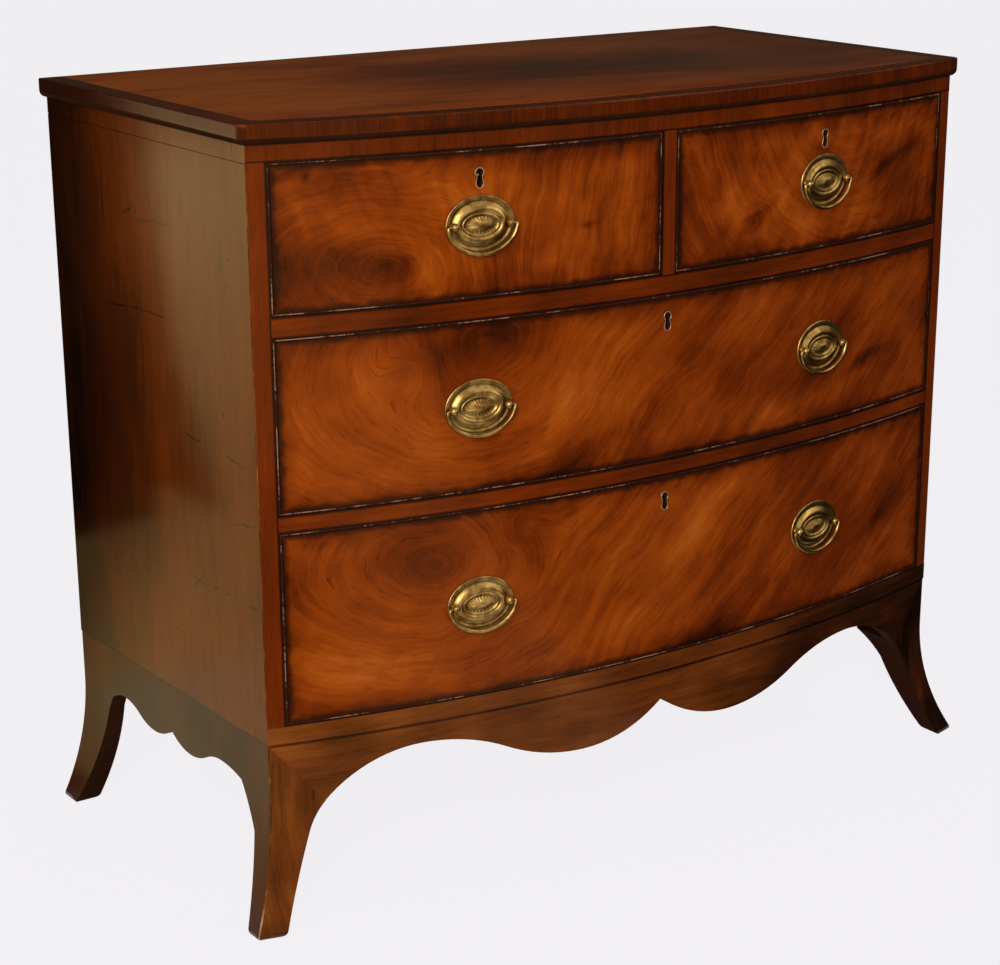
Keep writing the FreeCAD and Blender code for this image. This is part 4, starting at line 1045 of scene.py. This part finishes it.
paper = Finish("floorPaper", {"Roughness": 0.9, "Specular IOR Level": 0.1,
                              "Base Color": studio["paper"]})
glow = paper.node("ShaderNodeEmission", {}, {"Color": studio["paper"], "Strength": 1.02})
shine = seenDirectly(paper) * studio["glow"]
whole = paper.node("ShaderNodeMixShader", {}, {0: shine, 1: Wire(paper, paper.shader.outputs[0]),
                                               2: glow})
paper.tree.links.new(whole.out, paper.tree.nodes["Material Output"].inputs["Surface"])
card("floor", flat(0, (-14, -14), (14, -14), (14, 14), (-14, 14)), paper.material)


# glowing and black sheets that only reflections see; they paint warm shine and dark patches
# into the reflections in the polished wood and brass: tint, strength and corners
studioCards = {
    "flagBehind": ((1, 0.6, 0.36, 1), 0.055,
                   [(-2.5, 5.2, 0.6), (7.5, -0.8, 0.6), (7.5, -0.8, 6.0), (-2.5, 5.2, 6.0)]),
    "flagSide": ((1, 1, 1, 1), 0.0,
                 [(-1.2, y, z) for y, z in ((1.2, 0.006), (1.27, 0.11), (1.35, 0.27),
                                            (1.385, 0.415), (1.42, 0.57), (1.44, 3.0),
                                            (4.5, 3.0), (4.5, 0.006))]),
    "flagGround": ((1, 1, 1, 1), 0.0,
                   flat(0.006, (-1.2, 1.45), (-1.11, 1.275), (-0.94, 1.24), (-0.3, 1.2),
                        (-0.3, 4.5), (-1.2, 4.5))),
    "flagFront": ((1, 0.7, 0.4, 1), 0.05,
                  flat(0.003, (-1.5, -2.2), (-0.35, -2.2), (-0.35, -0.75), (-1.5, -0.75))),
    "flagFloor": ((1, 0.8, 0.6, 1), 0.01,
                  flat(0.003, (0.3, -6), (12, -9), (12, 9.0), (0.56, 0.9), (0.56, -0.25),
                       (0.2, -0.42))),
    "flagRight": ((1, 0.7, 0.4, 1), 0.04,
                  [(5, -7, 0.003), (9, 2, 0.003), (9, 2, 3), (5, -7, 3)]),
    "paintedReflection": ((1, 1, 1, 1), 1.7,
                      flat(0.003, (-7, -0.4), (-0.54, -0.4), (-0.54, 9), (-7, 9))),
}


def paintedReflectionHue(cloth):      # painted reflection: paler far away, with a painted shadow of the chest beside the feet
    hue = (0.62, 0.47, 0.19, 1)
    for start, end, paint in [(0.9, 4.6, (0.94, 0.98, 0.49, 1)), (4.8, 5.4, (0.62, 0.6, 0.33, 1)),
                             (0.68, 0.5, (0.48, 0.5, 0.3, 1))]:
        hue = cloth.blend(cloth.smooth(cloth.y, start, end), hue, paint)
    shaded = (cloth.smooth(cloth.x + cloth.y * 0.71, -0.36, -0.1)
              * cloth.smooth(cloth.y, 1.5, 1.3) * 0.75)
    return cloth.blend(shaded, hue, (0, 0, 0, 1))


for name, (tint, level, corners) in studioCards.items():
    cloth = Finish(name, {"Base Color": colour(8, 7, 6), "Roughness": 1, "Specular IOR Level": 0,
                          "Emission Color": tint, "Emission Strength": level})
    if name == "paintedReflection":
        cloth.feed("Emission Color", paintedReflectionHue(cloth))
    sheet = card(name, corners, cloth.material)
    sheet.visible_camera = sheet.visible_diffuse = sheet.visible_shadow = False
    sheet.visible_transmission = False


def aimed(name, data, place, direction):      # a lamp or camera that looks in a direction
    made = added(name, data)
    made.location = place
    made.rotation_mode = "QUATERNION"
    made.rotation_quaternion = direction.to_track_quat("-Z", "Y")
    return made


for name, (place, size, power) in studio["lamps"].items():
    light = bpy.data.lights.new(name, "AREA")
    light.shape = "RECTANGLE"
    light.size = light.size_y = size
    light.energy = power
    aimed(name, light, place, Vector(studio["aim"]) - Vector(place))

view = dict(
    place=(-1.6946, -2.3717, 1.2436), azimuth=-35.802, elevation=18.568, lens=86.85,
    shiftX=-0.0431, shiftY=0.0930)
azimuth, elevation = math.radians(view["azimuth"]), math.radians(view["elevation"])
lens = bpy.data.cameras.new("camera")
lens.lens, lens.sensor_width = view["lens"], 36
lens.shift_x, lens.shift_y = view["shiftX"], view["shiftY"]
lens.clip_start, lens.clip_end = 0.05, 60
back = Vector((math.sin(azimuth) * math.cos(elevation), -math.cos(azimuth) * math.cos(elevation),
               math.sin(elevation)))
bpy.context.scene.camera = aimed("camera", lens, view["place"], -back)
bpy.context.scene.view_settings.view_transform = "Standard"
print("studio set")
